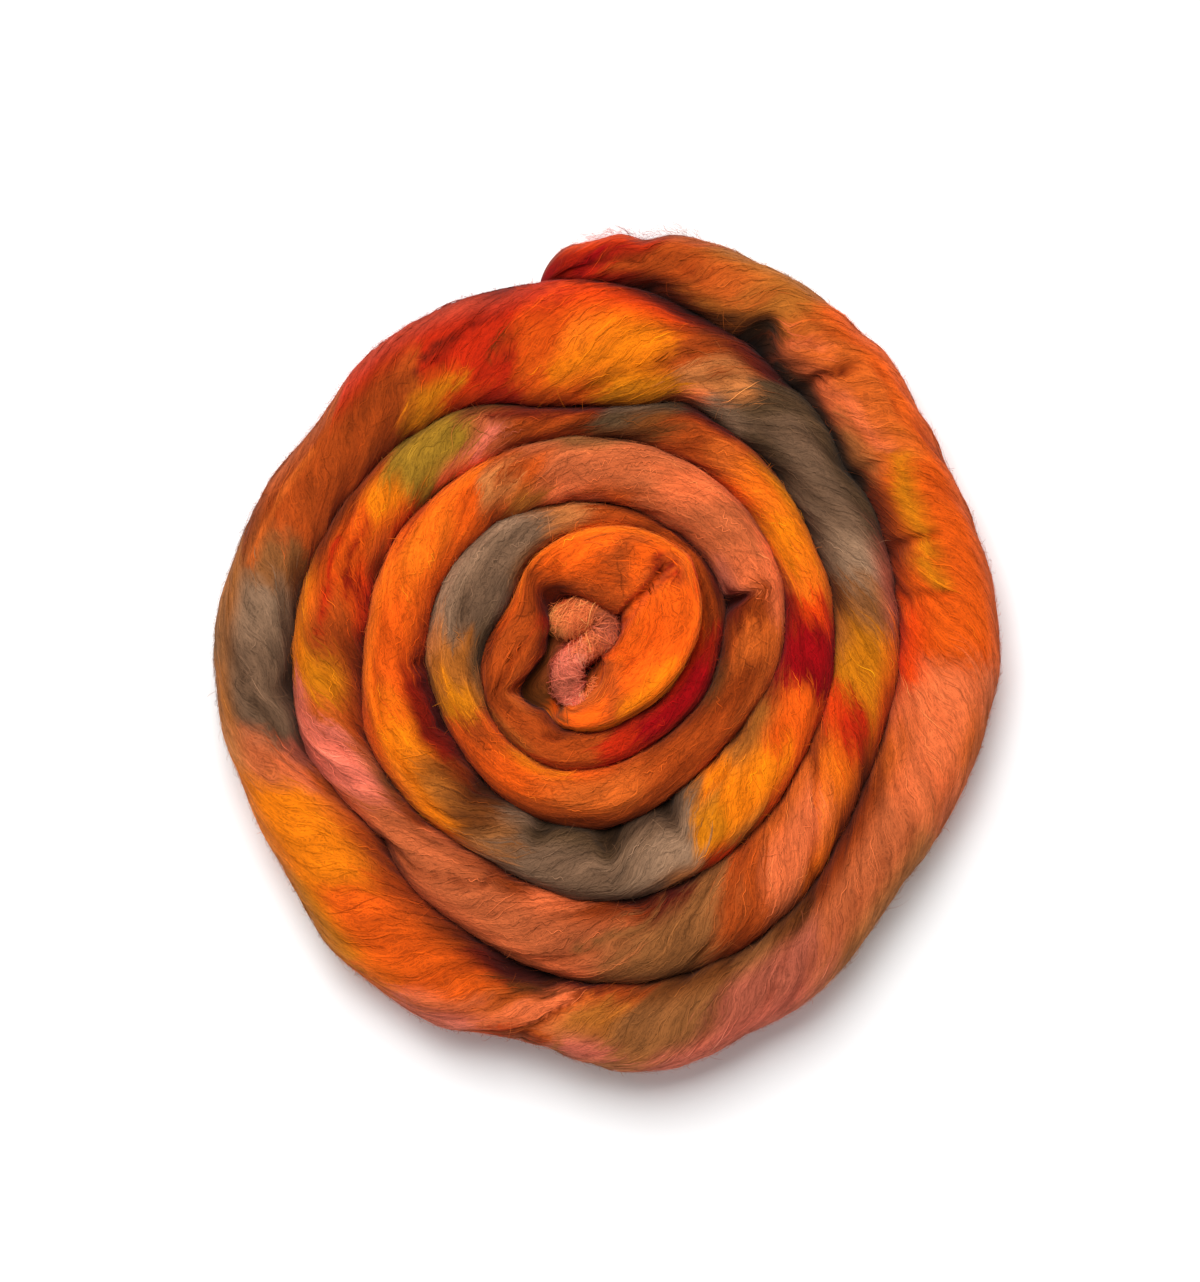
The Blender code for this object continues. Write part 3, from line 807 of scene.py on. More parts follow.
@dataclass(frozen=True)
class Curl:
    """The strand's inner end, curled up in the eye: a soft tube along an S, as a surface.

    Its first parameter is the length along the path in mm, and psi goes around the tube, 90 degrees
    being on top.
    """

    winding: Winding
    twist: float = 22.0
    rope_height: float = 0.5
    rope_pitch: float = 4.2
    end_reach: float = 1.2
    lowest: float = 0.3
    between: int = 24

    @cached_property
    def path(self) -> tuple[Array, Array]:
        """Lengths along the path, and its points and radii, from a Catmull-Rom curve half a mm apart."""
        knots = np.array(CURL_PATH)
        knots = np.vstack([2 * knots[0] - knots[1], knots, 2 * knots[-1] - knots[-2]])
        t = np.linspace(0, 1, self.between, endpoint=False)[:, None, None]
        run = through(knots[:-3], knots[1:-2], knots[2:-1], knots[3:], t)
        run = np.vstack([run.transpose(1, 0, 2).reshape(-1, 4), knots[-2]])
        steps = np.linalg.norm(np.diff(run[:, :3], axis=0), axis=1)
        return np.concatenate([[0], np.cumsum(steps)]), run

    @property
    def length(self) -> float:
        """Length of the whole path in mm."""
        return float(self.path[0][-1])

    def section_radius(self, along: Array) -> Array:
        """Radius of the tube at a length along the path."""
        return np.interp(along, self.path[0], self.path[1][:, 3])

    def centre(self, along: Array) -> Array:
        """Points of the path, from the eye of the winding."""
        lengths, run = self.path
        return np.stack([np.interp(along, lengths, run[:, axis]) for axis in range(3)], -1)

    def rates(self, along: Array) -> tuple[Array, Array]:
        """How fast a fibre moves: mm of path and radians of psi for each mm of its length."""
        radius, twist = self.section_radius(along), np.radians(self.twist)
        return np.full_like(radius, np.cos(twist)), np.sin(twist) / radius

    def place(self, along: Array, psi: Array, lift: Array) -> tuple[Array, Array]:
        """Points of the tube and their normals.

        The tube's radius is rounded off at both ends, and three ropy ridges wind around it.

        Args:
            along: Length along the path in mm.
            psi: Place around the tube in radians.
            lift: How far the point stands off the surface, in mm.

        Returns:
            Points in mm and unit normals.
        """
        tangent = unit(self.centre(along + 0.5) - self.centre(along - 0.5))
        side = unit(np.cross(tangent, (0.0, 0.0, 1.0)))
        top = np.cross(side, tangent)
        radius = self.section_radius(along)
        nearest = np.minimum(along, self.length - along)
        share = np.clip(nearest / (self.end_reach * radius), 0.01, 1.0)
        ropes = self.rope_height * np.sin(3 * psi - along / self.rope_pitch)
        ropes = ropes + rippled(CURL_LUMPS, along, psi)
        radius = (radius + ropes) * np.sqrt(share * (2 - share)) + lift
        normals = side * np.cos(psi)[..., None] + top * np.sin(psi)[..., None]
        eye = (self.winding.eye_x, self.winding.eye_y, 0.0)
        points = self.centre(along) + eye + normals * radius[..., None]
        points[..., 2] = np.maximum(points[..., 2], self.lowest)
        return points, normals


# ------------------------------------------------------------------------------------ colour


@dataclass(frozen=True)
class DyeBath:
    """The dye at each place of the strand.

    Between two marks of the chart the colour passes over in a soft step. The border runs slanting with
    the twist, and noise along the fibres feathers it. In the crevices, creases and pockets the colour
    carries painted shade: there it is raised to a power above 1 and darkened. Near the outer rim of the
    last turns it is paled towards a light tint, as a painted rim light.
    """

    winding: Winding
    sharpness: float = 1.25
    side_slope: float = 1.5
    side_start: float = 0.15
    # Painted shade: how much the colour is deepened (raised to a higher power) and darkened where fold() is
    # high.
    shade_deepening: float = 0.18
    shade_darkening: float = 0.60
    streak_reach: float = 12.0
    streak_feather: float = 1.1
    streak_cover: float = 0.92
    # Painted rim light: from here on, the outer side of the last turns is paled towards a light tint, for
    # light through its fuzz.
    rim_start: float = 1890.0
    rim_fade: float = 20.0
    painted_rim_light: float = 0.045
    rim_light_span: Pair = (0.45, 0.95)
    rim_light_tint: Triple = (1.0, 0.85, 0.5)

    def colour(self, angle: Array, psi: Array, shift: Array) -> Array:
        """Linear colour of the strand.

        Args:
            angle: Winding angle in degrees.
            psi: Place around the section in radians.
            shift: How far along the strand the dye is moved here, in mm, which feathers its borders.

        Returns:
            Colours with a last axis of red, green and blue.
        """
        winding = self.winding
        across = np.cos(psi)
        length, around = winding.fibre_coordinates(angle, psi)
        moved = np.degrees((shift + rippled(BORDERS, length, around)) / winding.middle(angle))
        place = angle + along_chart(angle, SLANTS) * across + moved
        knots = np.array([winding_angle(mark.turn, mark.clock) for mark in DYE_CHART])
        stop = np.interp(place, knots, np.arange(len(knots)))
        start = np.minimum(stop.astype(int), len(knots) - 2)
        step = eased((stop - start - 0.5) * self.sharpness + 0.5)[..., None]
        inner = eased(-across * self.side_slope - self.side_start)[..., None]
        outer = eased(across * self.side_slope - self.side_start)[..., None]
        colours = [np.array([getattr(mark, side).linear for mark in DYE_CHART])
                   for side in ("inner", "crown", "outer")]
        sides = [table[start] * (1 - step) + table[start + 1] * step for table in colours]
        mixed = sides[0] * inner + sides[1] * (1 - inner - outer) + sides[2] * outer
        mixed = self.streaked(mixed, angle, psi, angle + self.streak_feather * moved)
        # painted rim light: paler towards the outer side of the last turns
        low, high = self.rim_light_span
        rim_paling = self.painted_rim_light * eased((angle - self.rim_start) / self.rim_fade)
        rim_paling = rim_paling * eased((across - low) / (high - low))
        mixed = mixed + rim_paling[..., None] * (np.array(self.rim_light_tint) - mixed)
        tone = 1.0 + rippled(MOTTLE, length, around)
        # painted shade in crevices, creases and pockets: the colour is deepened and darkened there
        fold = winding.fold(angle, psi)[..., None]
        deep = np.clip(mixed * tone[..., None], 0, 1) ** (1.0 + self.shade_deepening * fold)
        strength = along_chart(angle, STRENGTHS)[..., None]
        return strength * deep * (1.0 - self.shade_darkening * fold)

    def streaked(self, colours: Array, angle: Array, psi: Array, place: Array) -> Array:
        """Lay the chart's streaks over the colours: soft bands, each full in its middle.

        Args:
            colours: Linear colours with a last axis of red, green and blue.
            angle: Winding angle in degrees.
            psi: Place around the section in radians.
            place: Winding angle moved a little, which feathers the streaks.

        Returns:
            The colours with the streaks.
        """
        across = self.winding.bare(angle, psi)[2]
        angle, across, place = np.broadcast_arrays(angle, across, place)
        for streak in STREAKS:
            first = winding_angle(streak.turn, streak.clock)
            last = winding_angle(streak.turn, streak.to_clock)
            near = np.abs(angle - (first + last) / 2) < (last - first) / 2 + self.streak_reach
            _, forward, sideways = self.winding.beside(
                streak, place[near] - first, across[near], angle[near])
            cover = self.streak_cover * bell(np.hypot(forward, sideways), streak.width)[..., None]
            colours[near] += cover * (streak.dye.linear - colours[near])
        return colours


@dataclass(frozen=True)
class CurlDye:
    """The dye of the curled inner end: mauve and rose below, salmon and tan above."""

    curl: Curl
    stops: tuple[tuple[float, Dye], ...] = (
        (0.0, CL), (0.10, SA), (0.20, RO), (0.30, MA), (0.42, RO), (0.52, SA), (0.64, MA), (0.76, CL),
        (0.86, SA), (0.94, TN), (1.0, UM),
    )
    strength: float = 0.86
    # Painted shade: the colour is deepened where the curl turns down to its sides and under it.
    shade_deepening: float = 0.9
    side_start: float = 0.6

    def colour(self, along: Array, psi: Array, shift: Array) -> Array:
        """Linear colour of the curl: deeper where it turns down to its sides."""
        knots = [stop * self.curl.length for stop, _ in self.stops]
        table = np.array([dye.linear for _, dye in self.stops])
        place = along + shift
        mixed = np.stack([np.interp(place, knots, table[:, channel]) for channel in range(3)], -1)
        tone = 1.0 + rippled(CURL_MOTTLE, along, psi)
        # painted shade on the curl's sides and underside
        power = 1.0 + self.shade_deepening * eased(self.side_start - np.sin(psi))
        return self.strength * np.clip(mixed * tone[..., None], 0, 1) ** power[..., None]


# ------------------------------------------------------------------------------------ meshes


@dataclass
class Draft:
    """A mesh in the making.

    Attributes:
        points: Its points in mm.
        faces: Arrays of faces, each with faces of one size.
        places: Corner places on the map, in the faces' order.
        dye: Linear colour of each point, with its painted shade and painted rim light.
        fibre: For each point the length along the fibres, the place across them, both in mm, and a
            number that differs from lock to lock.
        normals: The way each point's surface faces, so that fine hairs are lit like the wool below.
    """

    points: Array
    faces: list[Array]
    places: Array
    dye: Array
    fibre: Array
    normals: Array | None = None

    def build(self, name: str, material: bpy.types.Material) -> bpy.types.Object:
        """Put the arrays into a mesh, and make an object of it that rides on the body.

        Args:
            name: The piece's name.
            material: Its finish.

        Returns:
            The finished piece.
        """
        corners = np.concatenate([face.ravel() for face in self.faces]).astype(np.int32)
        sizes = np.concatenate([np.full(len(face), face.shape[1]) for face in self.faces])
        mesh = bpy.data.meshes.new(name)
        mesh.vertices.add(len(self.points))
        mesh.vertices.foreach_set("co", (self.points * MM).astype(np.float32).ravel())
        mesh.loops.add(len(corners))
        mesh.loops.foreach_set("vertex_index", corners)
        mesh.polygons.add(len(sizes))
        starts = np.concatenate([[0], np.cumsum(sizes)[:-1]]).astype(np.int32)
        mesh.polygons.foreach_set("loop_start", starts)
        mesh.polygons.foreach_set("use_smooth", np.ones(len(sizes), bool))
        mesh.update(calc_edges=True)
        layer = mesh.uv_layers.new(name="OFBake")
        layer.uv.foreach_set("vector", self.places.astype(np.float32).ravel())
        # the colour attribute carries the dye with its painted shade and painted rim light
        shade = mesh.color_attributes.new("dye", "FLOAT_COLOR", "POINT")
        rgba = np.concatenate([self.dye, np.ones((len(self.dye), 1))], axis=1)
        shade.data.foreach_set("color", np.clip(rgba, 0, 1).astype(np.float32).ravel())
        grain = mesh.attributes.new("fibre", "FLOAT_VECTOR", "POINT")
        grain.data.foreach_set("vector", self.fibre.astype(np.float32).ravel())
        mesh.materials.append(material)
        mesh.validate()
        if self.normals is not None:
            mesh.normals_split_custom_set_from_vertices(self.normals.astype(np.float32).tolist())
        piece = bpy.data.objects.new(name, mesh)
        bpy.context.scene.collection.objects.link(piece)
        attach(piece, BODY)
        LOG.info("%s: %d faces", name, len(mesh.polygons))
        return piece


def tube_faces(rings: int, around: int) -> list[Array]:
    """Faces of a closed tube: quads between its rings, and a fan of triangles over each end.

    The tube's points are its rings in order, then the middle of the first and of the last ring.
    """
    ring, point = np.meshgrid(np.arange(rings - 1), np.arange(around), indexing="ij")
    here = ring * around + point
    beside = ring * around + (point + 1) % around
    quads = np.stack([here, here + around, beside + around, beside], -1).reshape(-1, 4)
    rim, turned = np.arange(around), (np.arange(around) + 1) % around
    first = np.stack([np.full(around, rings * around), rim, turned], -1)
    last = (rings - 1) * around
    end = np.stack([np.full(around, rings * around + 1), last + turned, last + rim], -1)
    return [quads, np.concatenate([first, end])]


def tube_places(rings: int, around: int, rows: int) -> Array:
    """Corner places of a tube on its map: its length is cut into rows, one above the other."""
    margin = 0.004
    in_row = -(-(rings - 1) // rows)
    ring, point = np.meshgrid(np.arange(rings - 1), np.arange(around), indexing="ij")
    row, step = ring // in_row, ring % in_row
    left, right = step / in_row, (step + 1) / in_row
    low, high = point / around, (point + 1) / around
    corners = [(left, low), (right, low), (right, high), (left, high)]
    places = np.stack([
        np.stack([margin + u * (1 - 2 * margin), (row + margin * 4 + v * (1 - margin * 8)) / (rows + 1)], -1)
        for u, v in corners
    ], 2).reshape(-1, 2)
    turn = np.linspace(0, 2 * np.pi, around + 1)
    rim = np.stack([np.cos(turn), np.sin(turn)], -1) * 0.4 / (rows + 1)
    fans = []
    for column, (one, two) in enumerate(((rim[:-1], rim[1:]), (rim[1:], rim[:-1]))):
        centre = np.array([(column + 0.5) / (rows + 1), (rows + 0.5) / (rows + 1)])
        fans.append(np.stack([np.broadcast_to(centre, one.shape), centre + one, centre + two], 1))
    return np.concatenate([places, np.concatenate(fans).reshape(-1, 2)])


def closed_tube(points: Array, dye: Array, fibre: Array, rows: int) -> Draft:
    """A closed tube from its rings of points: the middle of each end ring closes it."""
    rings, around = points.shape[:2]

    def with_ends(values: Array) -> Array:
        """The rings' values in a row, then the mean of the first and of the last ring."""
        return np.concatenate([values.reshape(-1, 3), [values[0].mean(0), values[-1].mean(0)]])

    places = tube_places(rings, around, rows)
    return Draft(with_ends(points), tube_faces(rings, around), places, with_ends(dye), with_ends(fibre))


# ------------------------------------------------------------------------------------ finishes


class Line(NamedTuple):
    """A layer of thin lines on the wool: lattice steps a mm along and across, its angle and its reach.

    The angle, in degrees, is to the fibres, and it also picks another part of the noise. The reach is
    how far the noise may be from its middle value.
    """

    along: float
    across: float
    angle: float
    reach: float


FIBRES = (Line(0.10, 1.2, 12.0, 0.09), Line(0.13, 1.6, -16.0, 0.09), Line(0.20, 1.0, 38.0, 0.05))
SPLIT = Line(0.03, 0.26, 3.0, 0.030)


@dataclass(frozen=True)
class Weave:
    """The nodes of one material, added one at a time."""

    tree: bpy.types.NodeTree

    def plug(self, node: bpy.types.Node, inputs: dict) -> None:
        """Give a node's inputs, by name or number, their fixed values or their links."""
        for key, value in inputs.items():
            if isinstance(value, Socket):
                self.tree.links.new(value, node.inputs[key])
            else:
                node.inputs[key].default_value = value

    def add(self, kind: str, output: str, inputs: dict, **settings: object) -> Socket:
        """Add a node.

        Args:
            kind: Its type, without the usual beginning.
            output: The output that is wanted.
            inputs: A fixed value or a link for each input.
            **settings: The node's own settings.

        Returns:
            The wanted output.
        """
        node = self.tree.nodes.new("ShaderNode" + kind)
        for name, value in settings.items():
            setattr(node, name, value)
        self.plug(node, inputs)
        return node.outputs[output]

    def math(self, operation: str, first: Socket, second: Socket | float = 0.0) -> Socket:
        """Calculate with a value and a second value or number."""
        return self.add("Math", "Value", {0: first, 1: second}, operation=operation)

    def ranged(self, source: Socket, before: Pair, after: Pair) -> Socket:
        """Map a value from one range to another, held at its ends."""
        inputs = {"Value": source, "From Min": before[0], "From Max": before[1],
                  "To Min": after[0], "To Max": after[1]}
        return self.add("MapRange", "Result", inputs)

    def noise(self, source: Socket, scale: Pair, turn: float, detail: float) -> Socket:
        """Add a noise on a turned and scaled place.

        Args:
            source: The place along and across the fibres in mm.
            scale: How many lattice steps a mm is along and across.
            turn: Angle in degrees to the fibres; it also picks another part of the noise.
            detail: Number of finer layers.

        Returns:
            The noise between 0 and 1.
        """
        turned = self.add("VectorRotate", "Vector", {"Vector": source, "Angle": np.radians(turn)},
                          rotation_type="Z_AXIS")
        inputs = {0: turned, 1: (*scale, 1.0), 2: (0.0, 0.0, 5.3 * turn)}
        scaled = self.add("VectorMath", "Vector", inputs, operation="MULTIPLY_ADD")
        inputs = {"Vector": scaled, "Scale": 1.0, "Detail": detail, "Roughness": 0.6}
        return self.add("TexNoise", "Fac", inputs)

    def lines(self, source: Socket, line: Line) -> Socket:
        """Thin lines where a noise is close to its middle value: 1 in their middle, 0 at their sides."""
        value = self.noise(source, (line.along, line.across), line.angle, 1.0)
        off = self.math("ABSOLUTE", self.math("SUBTRACT", value, 0.5))
        return self.ranged(off, (0.0, line.reach), (1.0, 0.0))


@dataclass(frozen=True)
class WoolFinish:
    """Dyed wool: its colour is the piece's dye, with fine crimped fibres along the strand.

    Attributes:
        name: The material's name.
        streaks: How much soft streaks lighten and darken the dye.
        fibres: How much the single fine fibres are lighter than the dye.
        splits: How much darker the wool is where its fibres part.
        bump: Height of the fine fibres in mm.
        crimp: How far the fibres wave to both sides, in mm.
        roughness: Roughness of the surface.
        sheen: Strength of the soft bloom at grazing angles.
    """

    name: str
    streaks: float = 0.20
    fibres: float = 0.40
    splits: float = 0.30
    bump: float = 0.06
    crimp: float = 1.0
    roughness: float = 0.9
    sheen: float = 0.03

    def material(self) -> bpy.types.Material:
        """Build the material: Principled, in the dye's colour, with grain where streaks are asked for."""
        material = bpy.data.materials.new(self.name)
        material.use_nodes = True
        weave = Weave(material.node_tree)
        # the dye attribute carries the painted shade and painted rim light
        dye = weave.add("Attribute", "Color", {}, attribute_name="dye")
        inputs = {"Base Color": dye, "Roughness": self.roughness, "Sheen Weight": self.sheen,
                  "Sheen Roughness": 0.6, "Specular IOR Level": 0.06}
        if self.streaks > 0:
            inputs |= self.grain(weave, dye)
        weave.plug(material.node_tree.nodes["Principled BSDF"], inputs)
        return material

    def grain(self, weave: Weave, dye: Socket) -> dict[str, Socket]:
        """Soft streaks, light fibres and dark splits.

        All are noise stretched along the strand and waved by a broader noise. A fibre is a thin line
        where a noise is close to its middle value. A split is a broader one, kept in some places only.

        Args:
            weave: The material's nodes.
            dye: The colour of the dye.

        Returns:
            The colour and the bumps, by the names of the shader's inputs.
        """
        fibre = weave.add("Attribute", "Vector", {}, attribute_name="fibre")
        wave = weave.noise(fibre, (0.34, 0.35), 7.0, 3.0)
        crimp = weave.ranged(wave, (0.0, 1.0), (-self.crimp, self.crimp))
        shift = weave.add("CombineXYZ", "Vector", {"Y": crimp})
        waved = weave.add("VectorMath", "Vector", {0: fibre, 1: shift})
        streak = weave.noise(waved, (0.05, 0.9), 0.0, 3.0)
        factor = weave.ranged(streak, (0.25, 0.75), (1 - self.streaks, 1 + self.streaks))
        one, two, three = (weave.lines(waved, line) for line in FIBRES)
        lines = weave.math("MAXIMUM", weave.math("MAXIMUM", one, two), three)
        lit = weave.ranged(lines, (0.0, 1.0), (1.0 - self.fibres / 3, 1.0 + self.fibres))
        chosen = weave.ranged(weave.noise(waved, (0.03, 0.15), 40.0, 1.0), (0.55, 0.70), (0.0, 1.0))
        parted = weave.math("MULTIPLY", weave.lines(waved, SPLIT), chosen)
        dark = weave.ranged(parted, (0.0, 1.0), (1.0, 1.0 - self.splits))
        factor = weave.math("MULTIPLY", weave.math("MULTIPLY", factor, lit), dark)
        colour = weave.add("VectorMath", "Vector", {0: dye, "Scale": factor}, operation="SCALE")
        bumps = {"Strength": 0.8, "Distance": self.bump * MM, "Height": lit}
        return {"Base Color": colour, "Normal": weave.add("Bump", "Normal", bumps)}


@dataclass(frozen=True)
class FloorFinish:
    """A plain white ground."""

    brightness: float = 0.95

    def material(self) -> bpy.types.Material:
        """Build the material of the floor."""
        material = bpy.data.materials.new("white_ground")
        material.use_nodes = True
        inputs = {"Base Color": (self.brightness,) * 3 + (1.0,), "Roughness": 0.9,
                  "Specular IOR Level": 0.0}
        Weave(material.node_tree).plug(material.node_tree.nodes["Principled BSDF"], inputs)
        return material


# ------------------------------------------------------------------------------------ the pieces


@dataclass
class Core:
    """The body of the strand under its locks, as one closed tube."""

    winding: Winding
    bath: DyeBath
    rings: int = 2360
    over_top: int = 32
    under: int = 8
    map_rows: int = 6

    def sections(self) -> Array:
        """Places around the section from the middle of the rest face, close together over the top."""
        top = np.radians(np.linspace(-30.0, 210.0, self.over_top))
        half = self.under // 2
        before = np.radians(np.linspace(-90.0, -30.0, half + 1)[:-1])
        after = np.radians(np.linspace(210.0, 270.0, half + 1)[1:-1])
        return np.concatenate([before, top, after])

    def build(self) -> bpy.types.Object:
        """Make the core."""
        winding = self.winding
        first, last = winding.length_at(np.array([winding.start, winding.end]))
        angle = winding.angle_at(np.linspace(first, last, self.rings))[:, None]
        angle, psi = np.broadcast_arrays(angle, self.sections()[None, :])
        points, _ = winding.place(angle, psi, np.zeros(angle.shape))
        dye = self.bath.colour(angle, psi, np.zeros(angle.shape))
        length, around = winding.fibre_coordinates(angle, psi)
        fibre = np.stack([length, around, np.zeros_like(length)], -1)
        draft = closed_tube(points, dye, fibre, self.map_rows)
        return draft.build("strand_core", WoolFinish("wool_core").material())


@dataclass
class CurlCore:
    """The body of the curled inner end under its locks."""

    curl: Curl
    dye: CurlDye
    rings: int = 150
    around: int = 20

    def build(self) -> bpy.types.Object:
        """Make the curl's core."""
        along = np.linspace(0, self.curl.length, self.rings)[:, None]
        psi = np.linspace(0, 2 * np.pi, self.around, endpoint=False)[None, :]
        along, psi = np.broadcast_arrays(along, psi)
        points, _ = self.curl.place(along, psi, np.zeros(along.shape))
        dye = self.dye.colour(along, psi, np.zeros(along.shape))
        fibre = np.stack([along, psi * 5.0 - along * 0.4, np.full_like(along, 3.0)], -1)
        draft = closed_tube(points, dye, fibre, 3)
        return draft.build("inner_curl_core", WoolFinish("wool_curl_core").material())


@dataclass(frozen=True)
class LockShape:
    """The sizes of the locks of one layer, in mm: a range for each.

    Attributes:
        length: Length from tip to tip.
        width: Width in the middle.
        lift: How far the middle stands off the surface.
        crimp: How far a lock waves to both sides.
        wave: Length of one wave.
        stray: How far a lock's direction strays from the fibres', in degrees.
        stations: Number of places along a lock, with both tips.
        tone: How much the locks differ in brightness.
        light: How much lighter they are than the wool they lie on.
        bridge: How far a lock may run over a hollow between two places along it.
    """

    length: Pair = (12.0, 26.0)
    width: Pair = (0.4, 1.0)
    lift: Pair = (0.0, 0.18)
    crimp: float = 0.3
    wave: float = 12.0
    stray: float = 6.0
    stations: int = 7
    tone: float = 0.08
    light: float = 1.0
    bridge: float = 0.45


CURLY_HAIR = LockShape(length=(4.5, 9.0), width=(0.14, 0.28), lift=(0.05, 1.2), crimp=0.9, wave=3.4,
                       stray=24.0, stations=10, tone=0.30, light=1.35)
WAVY_HAIR = replace(CURLY_HAIR, length=(6.0, 13.0), width=(0.14, 0.26), lift=(0.05, 1.1), crimp=0.6,
                    wave=4.6, stray=17.0)
LONG_HAIR = replace(WAVY_HAIR, length=(8.0, 18.0), lift=(0.05, 1.0), crimp=0.45, wave=6.0, stray=13.0,
                    light=1.32)
CURL_LOCK = LockShape(length=(4.0, 8.0), width=(0.14, 0.30), lift=(0.05, 1.5), crimp=1.0, wave=3.0,
                      stray=30.0, stations=10, tone=0.34, light=1.20)
CURL_WISP = LockShape(length=(6.0, 12.0), width=(0.10, 0.20), lift=(0.8, 3.0), crimp=1.4, wave=4.4,
                      stray=60.0, stations=8, tone=0.36, light=1.45, bridge=1.4)


def lock_faces(stations: int) -> Array:
    """Triangles of one lock: three sides between its stations, which end in a point at both ends."""
    rings = stations - 2
    faces = []
    for side in range(3):
        turned = (side + 1) % 3
        faces.append((0, 1 + side, 1 + turned))
        for ring in range(rings - 1):
            here, ahead = 1 + 3 * ring, 4 + 3 * ring
            faces.append((here + side, ahead + turned, here + turned))
            faces.append((here + side, ahead + side, ahead + turned))
        last = 1 + 3 * (rings - 1)
        faces.append((last + side, last + 3, last + turned))
    return np.array(faces)


@dataclass
class Locks:
    """Locks on a surface, joined into one mesh.

    A lock is a three-sided spindle. Its middle line starts at a place on the surface and follows the
    fibres, so that the place along the surface and psi grow evenly with its length; a wave adds crimp.
    It lies a little above the surface in its middle and dips into it at both ends.
    """

    surface: Winding | Curl
    bath: DyeBath | CurlDye
    shape: LockShape
    seed: int
    dip: float = 0.15
    dye_shift: float = 2.6

    def lines(self, along: Array, psi: Array) -> tuple[Array, Array, Array, Array]:
        """The middle line of each lock on the surface.

        Args:
            along: Where on the strand the middle of each lock lies.
            psi: Where around the section it lies.

        Returns:
            The place along and around, the share of the length and the length in mm, of each station.
        """
        rng = np.random.default_rng(self.seed)
        count, shape = len(along), self.shape
        share = np.linspace(0, 1, shape.stations)[None, :]
        length = rng.uniform(*shape.length, (count, 1))
        forward, sideways = self.surface.rates(along[:, None])
        stray = np.radians(rng.normal(0, shape.stray, (count, 1)))
        run = (share - 0.5) * length
        waves = length / (shape.wave * rng.uniform(0.7, 1.4, (count, 1)))
        phase = rng.uniform(0, 2 * np.pi, (count, 1))
        strength = shape.crimp * rng.uniform(0.3, 1.3, (count, 1))
        bend = rng.normal(0, 0.6, (count, 1)) * (4 * (share - 0.5) ** 2)
        swerve = run * np.tan(stray) + bend + strength * np.sin(2 * np.pi * waves * share + phase)
        around = psi[:, None] + sideways * run + swerve / self.surface.section_radius(along)[:, None]
        return along[:, None] + forward * run, around, np.broadcast_to(share, run.shape), run

    def build(self, name: str, along: Array, psi: Array, finish: WoolFinish) -> bpy.types.Object:
        """Make the locks: each has its own tone, and its dye is moved a little along the strand.

        Args:
            name: The piece's name.
            along: Where on the strand the middle of each lock lies.
            psi: Where around the section it lies.
            finish: The finish of the locks.

        Returns:
            The finished piece.
        """
        rng = np.random.default_rng(self.seed + 1)
        count, shape = len(along), self.shape
        where, around, share, run = self.lines(along, psi)
        arch = np.sin(np.pi * share) ** 0.5
        lift = rng.uniform(*shape.lift, (count, 1)) * arch - self.dip * (1 - arch)
        middle, normal = self.surface.place(where, around, lift)
        shift = rng.normal(0, self.dye_shift, (count, 1)) + np.zeros(where.shape)
        tone = shape.light * np.exp(rng.normal(0.0, shape.tone, (count, 1, 1)))
        # the bath's colour carries its painted shade and painted rim light into the locks
        colours = self.bath.colour(where, around, shift) * tone
        width = rng.uniform(*shape.width, (count, 1))
        lying = self.bridging(where, around, lift, middle) < shape.bridge
        kept = (values[lying] for values in (middle, normal, width, colours, run))
        return self.spindles(*kept).build(name, finish.material())

    def bridging(self, where: Array, around: Array, lift: Array, middle: Array) -> Array:
        """How far each lock runs over a hollow between two of its stations, at most, in mm."""
        between = [(values[:, 1:] + values[:, :-1]) / 2 for values in (where, around, lift, middle)]
        below, normal = self.surface.place(*between[:3])
        return np.sum((between[3] - below) * normal, axis=-1).max(axis=1)

    def spindles(self, middle: Array, normal: Array, width: Array, colours: Array, run: Array) -> Draft:
        """Three-sided spindles around middle lines, joined; each has its own cell on the map.

        Args:
            middle: Points of the middle lines, station by station.
            normal: The way up at each station.
            width: Width of each lock.
            colours: A colour for each station.
            run: Length along each lock in mm.

        Returns:
            The mesh in the making.
        """
        count, stations = middle.shape[:2]
        share = np.linspace(0, 1, stations)[None, :]
        side = unit(np.cross(unit(np.gradient(middle, axis=1)), normal))
        half = (width / 2 * np.sin(np.pi * share) ** 0.6)[..., None]
        rings = np.stack([middle - side * half, middle + side * half, middle + normal * half * 0.6], 2)
        inner = rings[:, 1:-1].reshape(count, -1, 3)
        points = np.concatenate([middle[:, :1], inner, middle[:, -1:]], axis=1)
        station = np.concatenate([[0], np.repeat(np.arange(1, stations - 1), 3), [stations - 1]])
        offsets = np.concatenate([[0.0], np.tile([-0.5, 0.5, 0.0], stations - 2), [0.0]])
        seeds = np.random.default_rng(self.seed + 2).uniform(0, 200, (count, 1))
        fibre = np.stack(np.broadcast_arrays(run[:, station], offsets * width, seeds), -1)
        template = lock_faces(stations)
        per_lock = points.shape[1]
        faces = (template[None] + per_lock * np.arange(count)[:, None, None]).reshape(-1, 3)
        tilt = np.concatenate([[0.0], np.tile([-0.35, 0.35, 0.0], stations - 2), [0.0]])[:, None]
        normals = unit((normal[:, station] + side[:, station] * tilt).reshape(-1, 3))
        points[..., 2] = np.maximum(points[..., 2], 0.02)
        return Draft(points.reshape(-1, 3), [faces], self.cells(count, stations, template, station),
                     colours[:, station].reshape(-1, 3), fibre.reshape(-1, 3), normals)

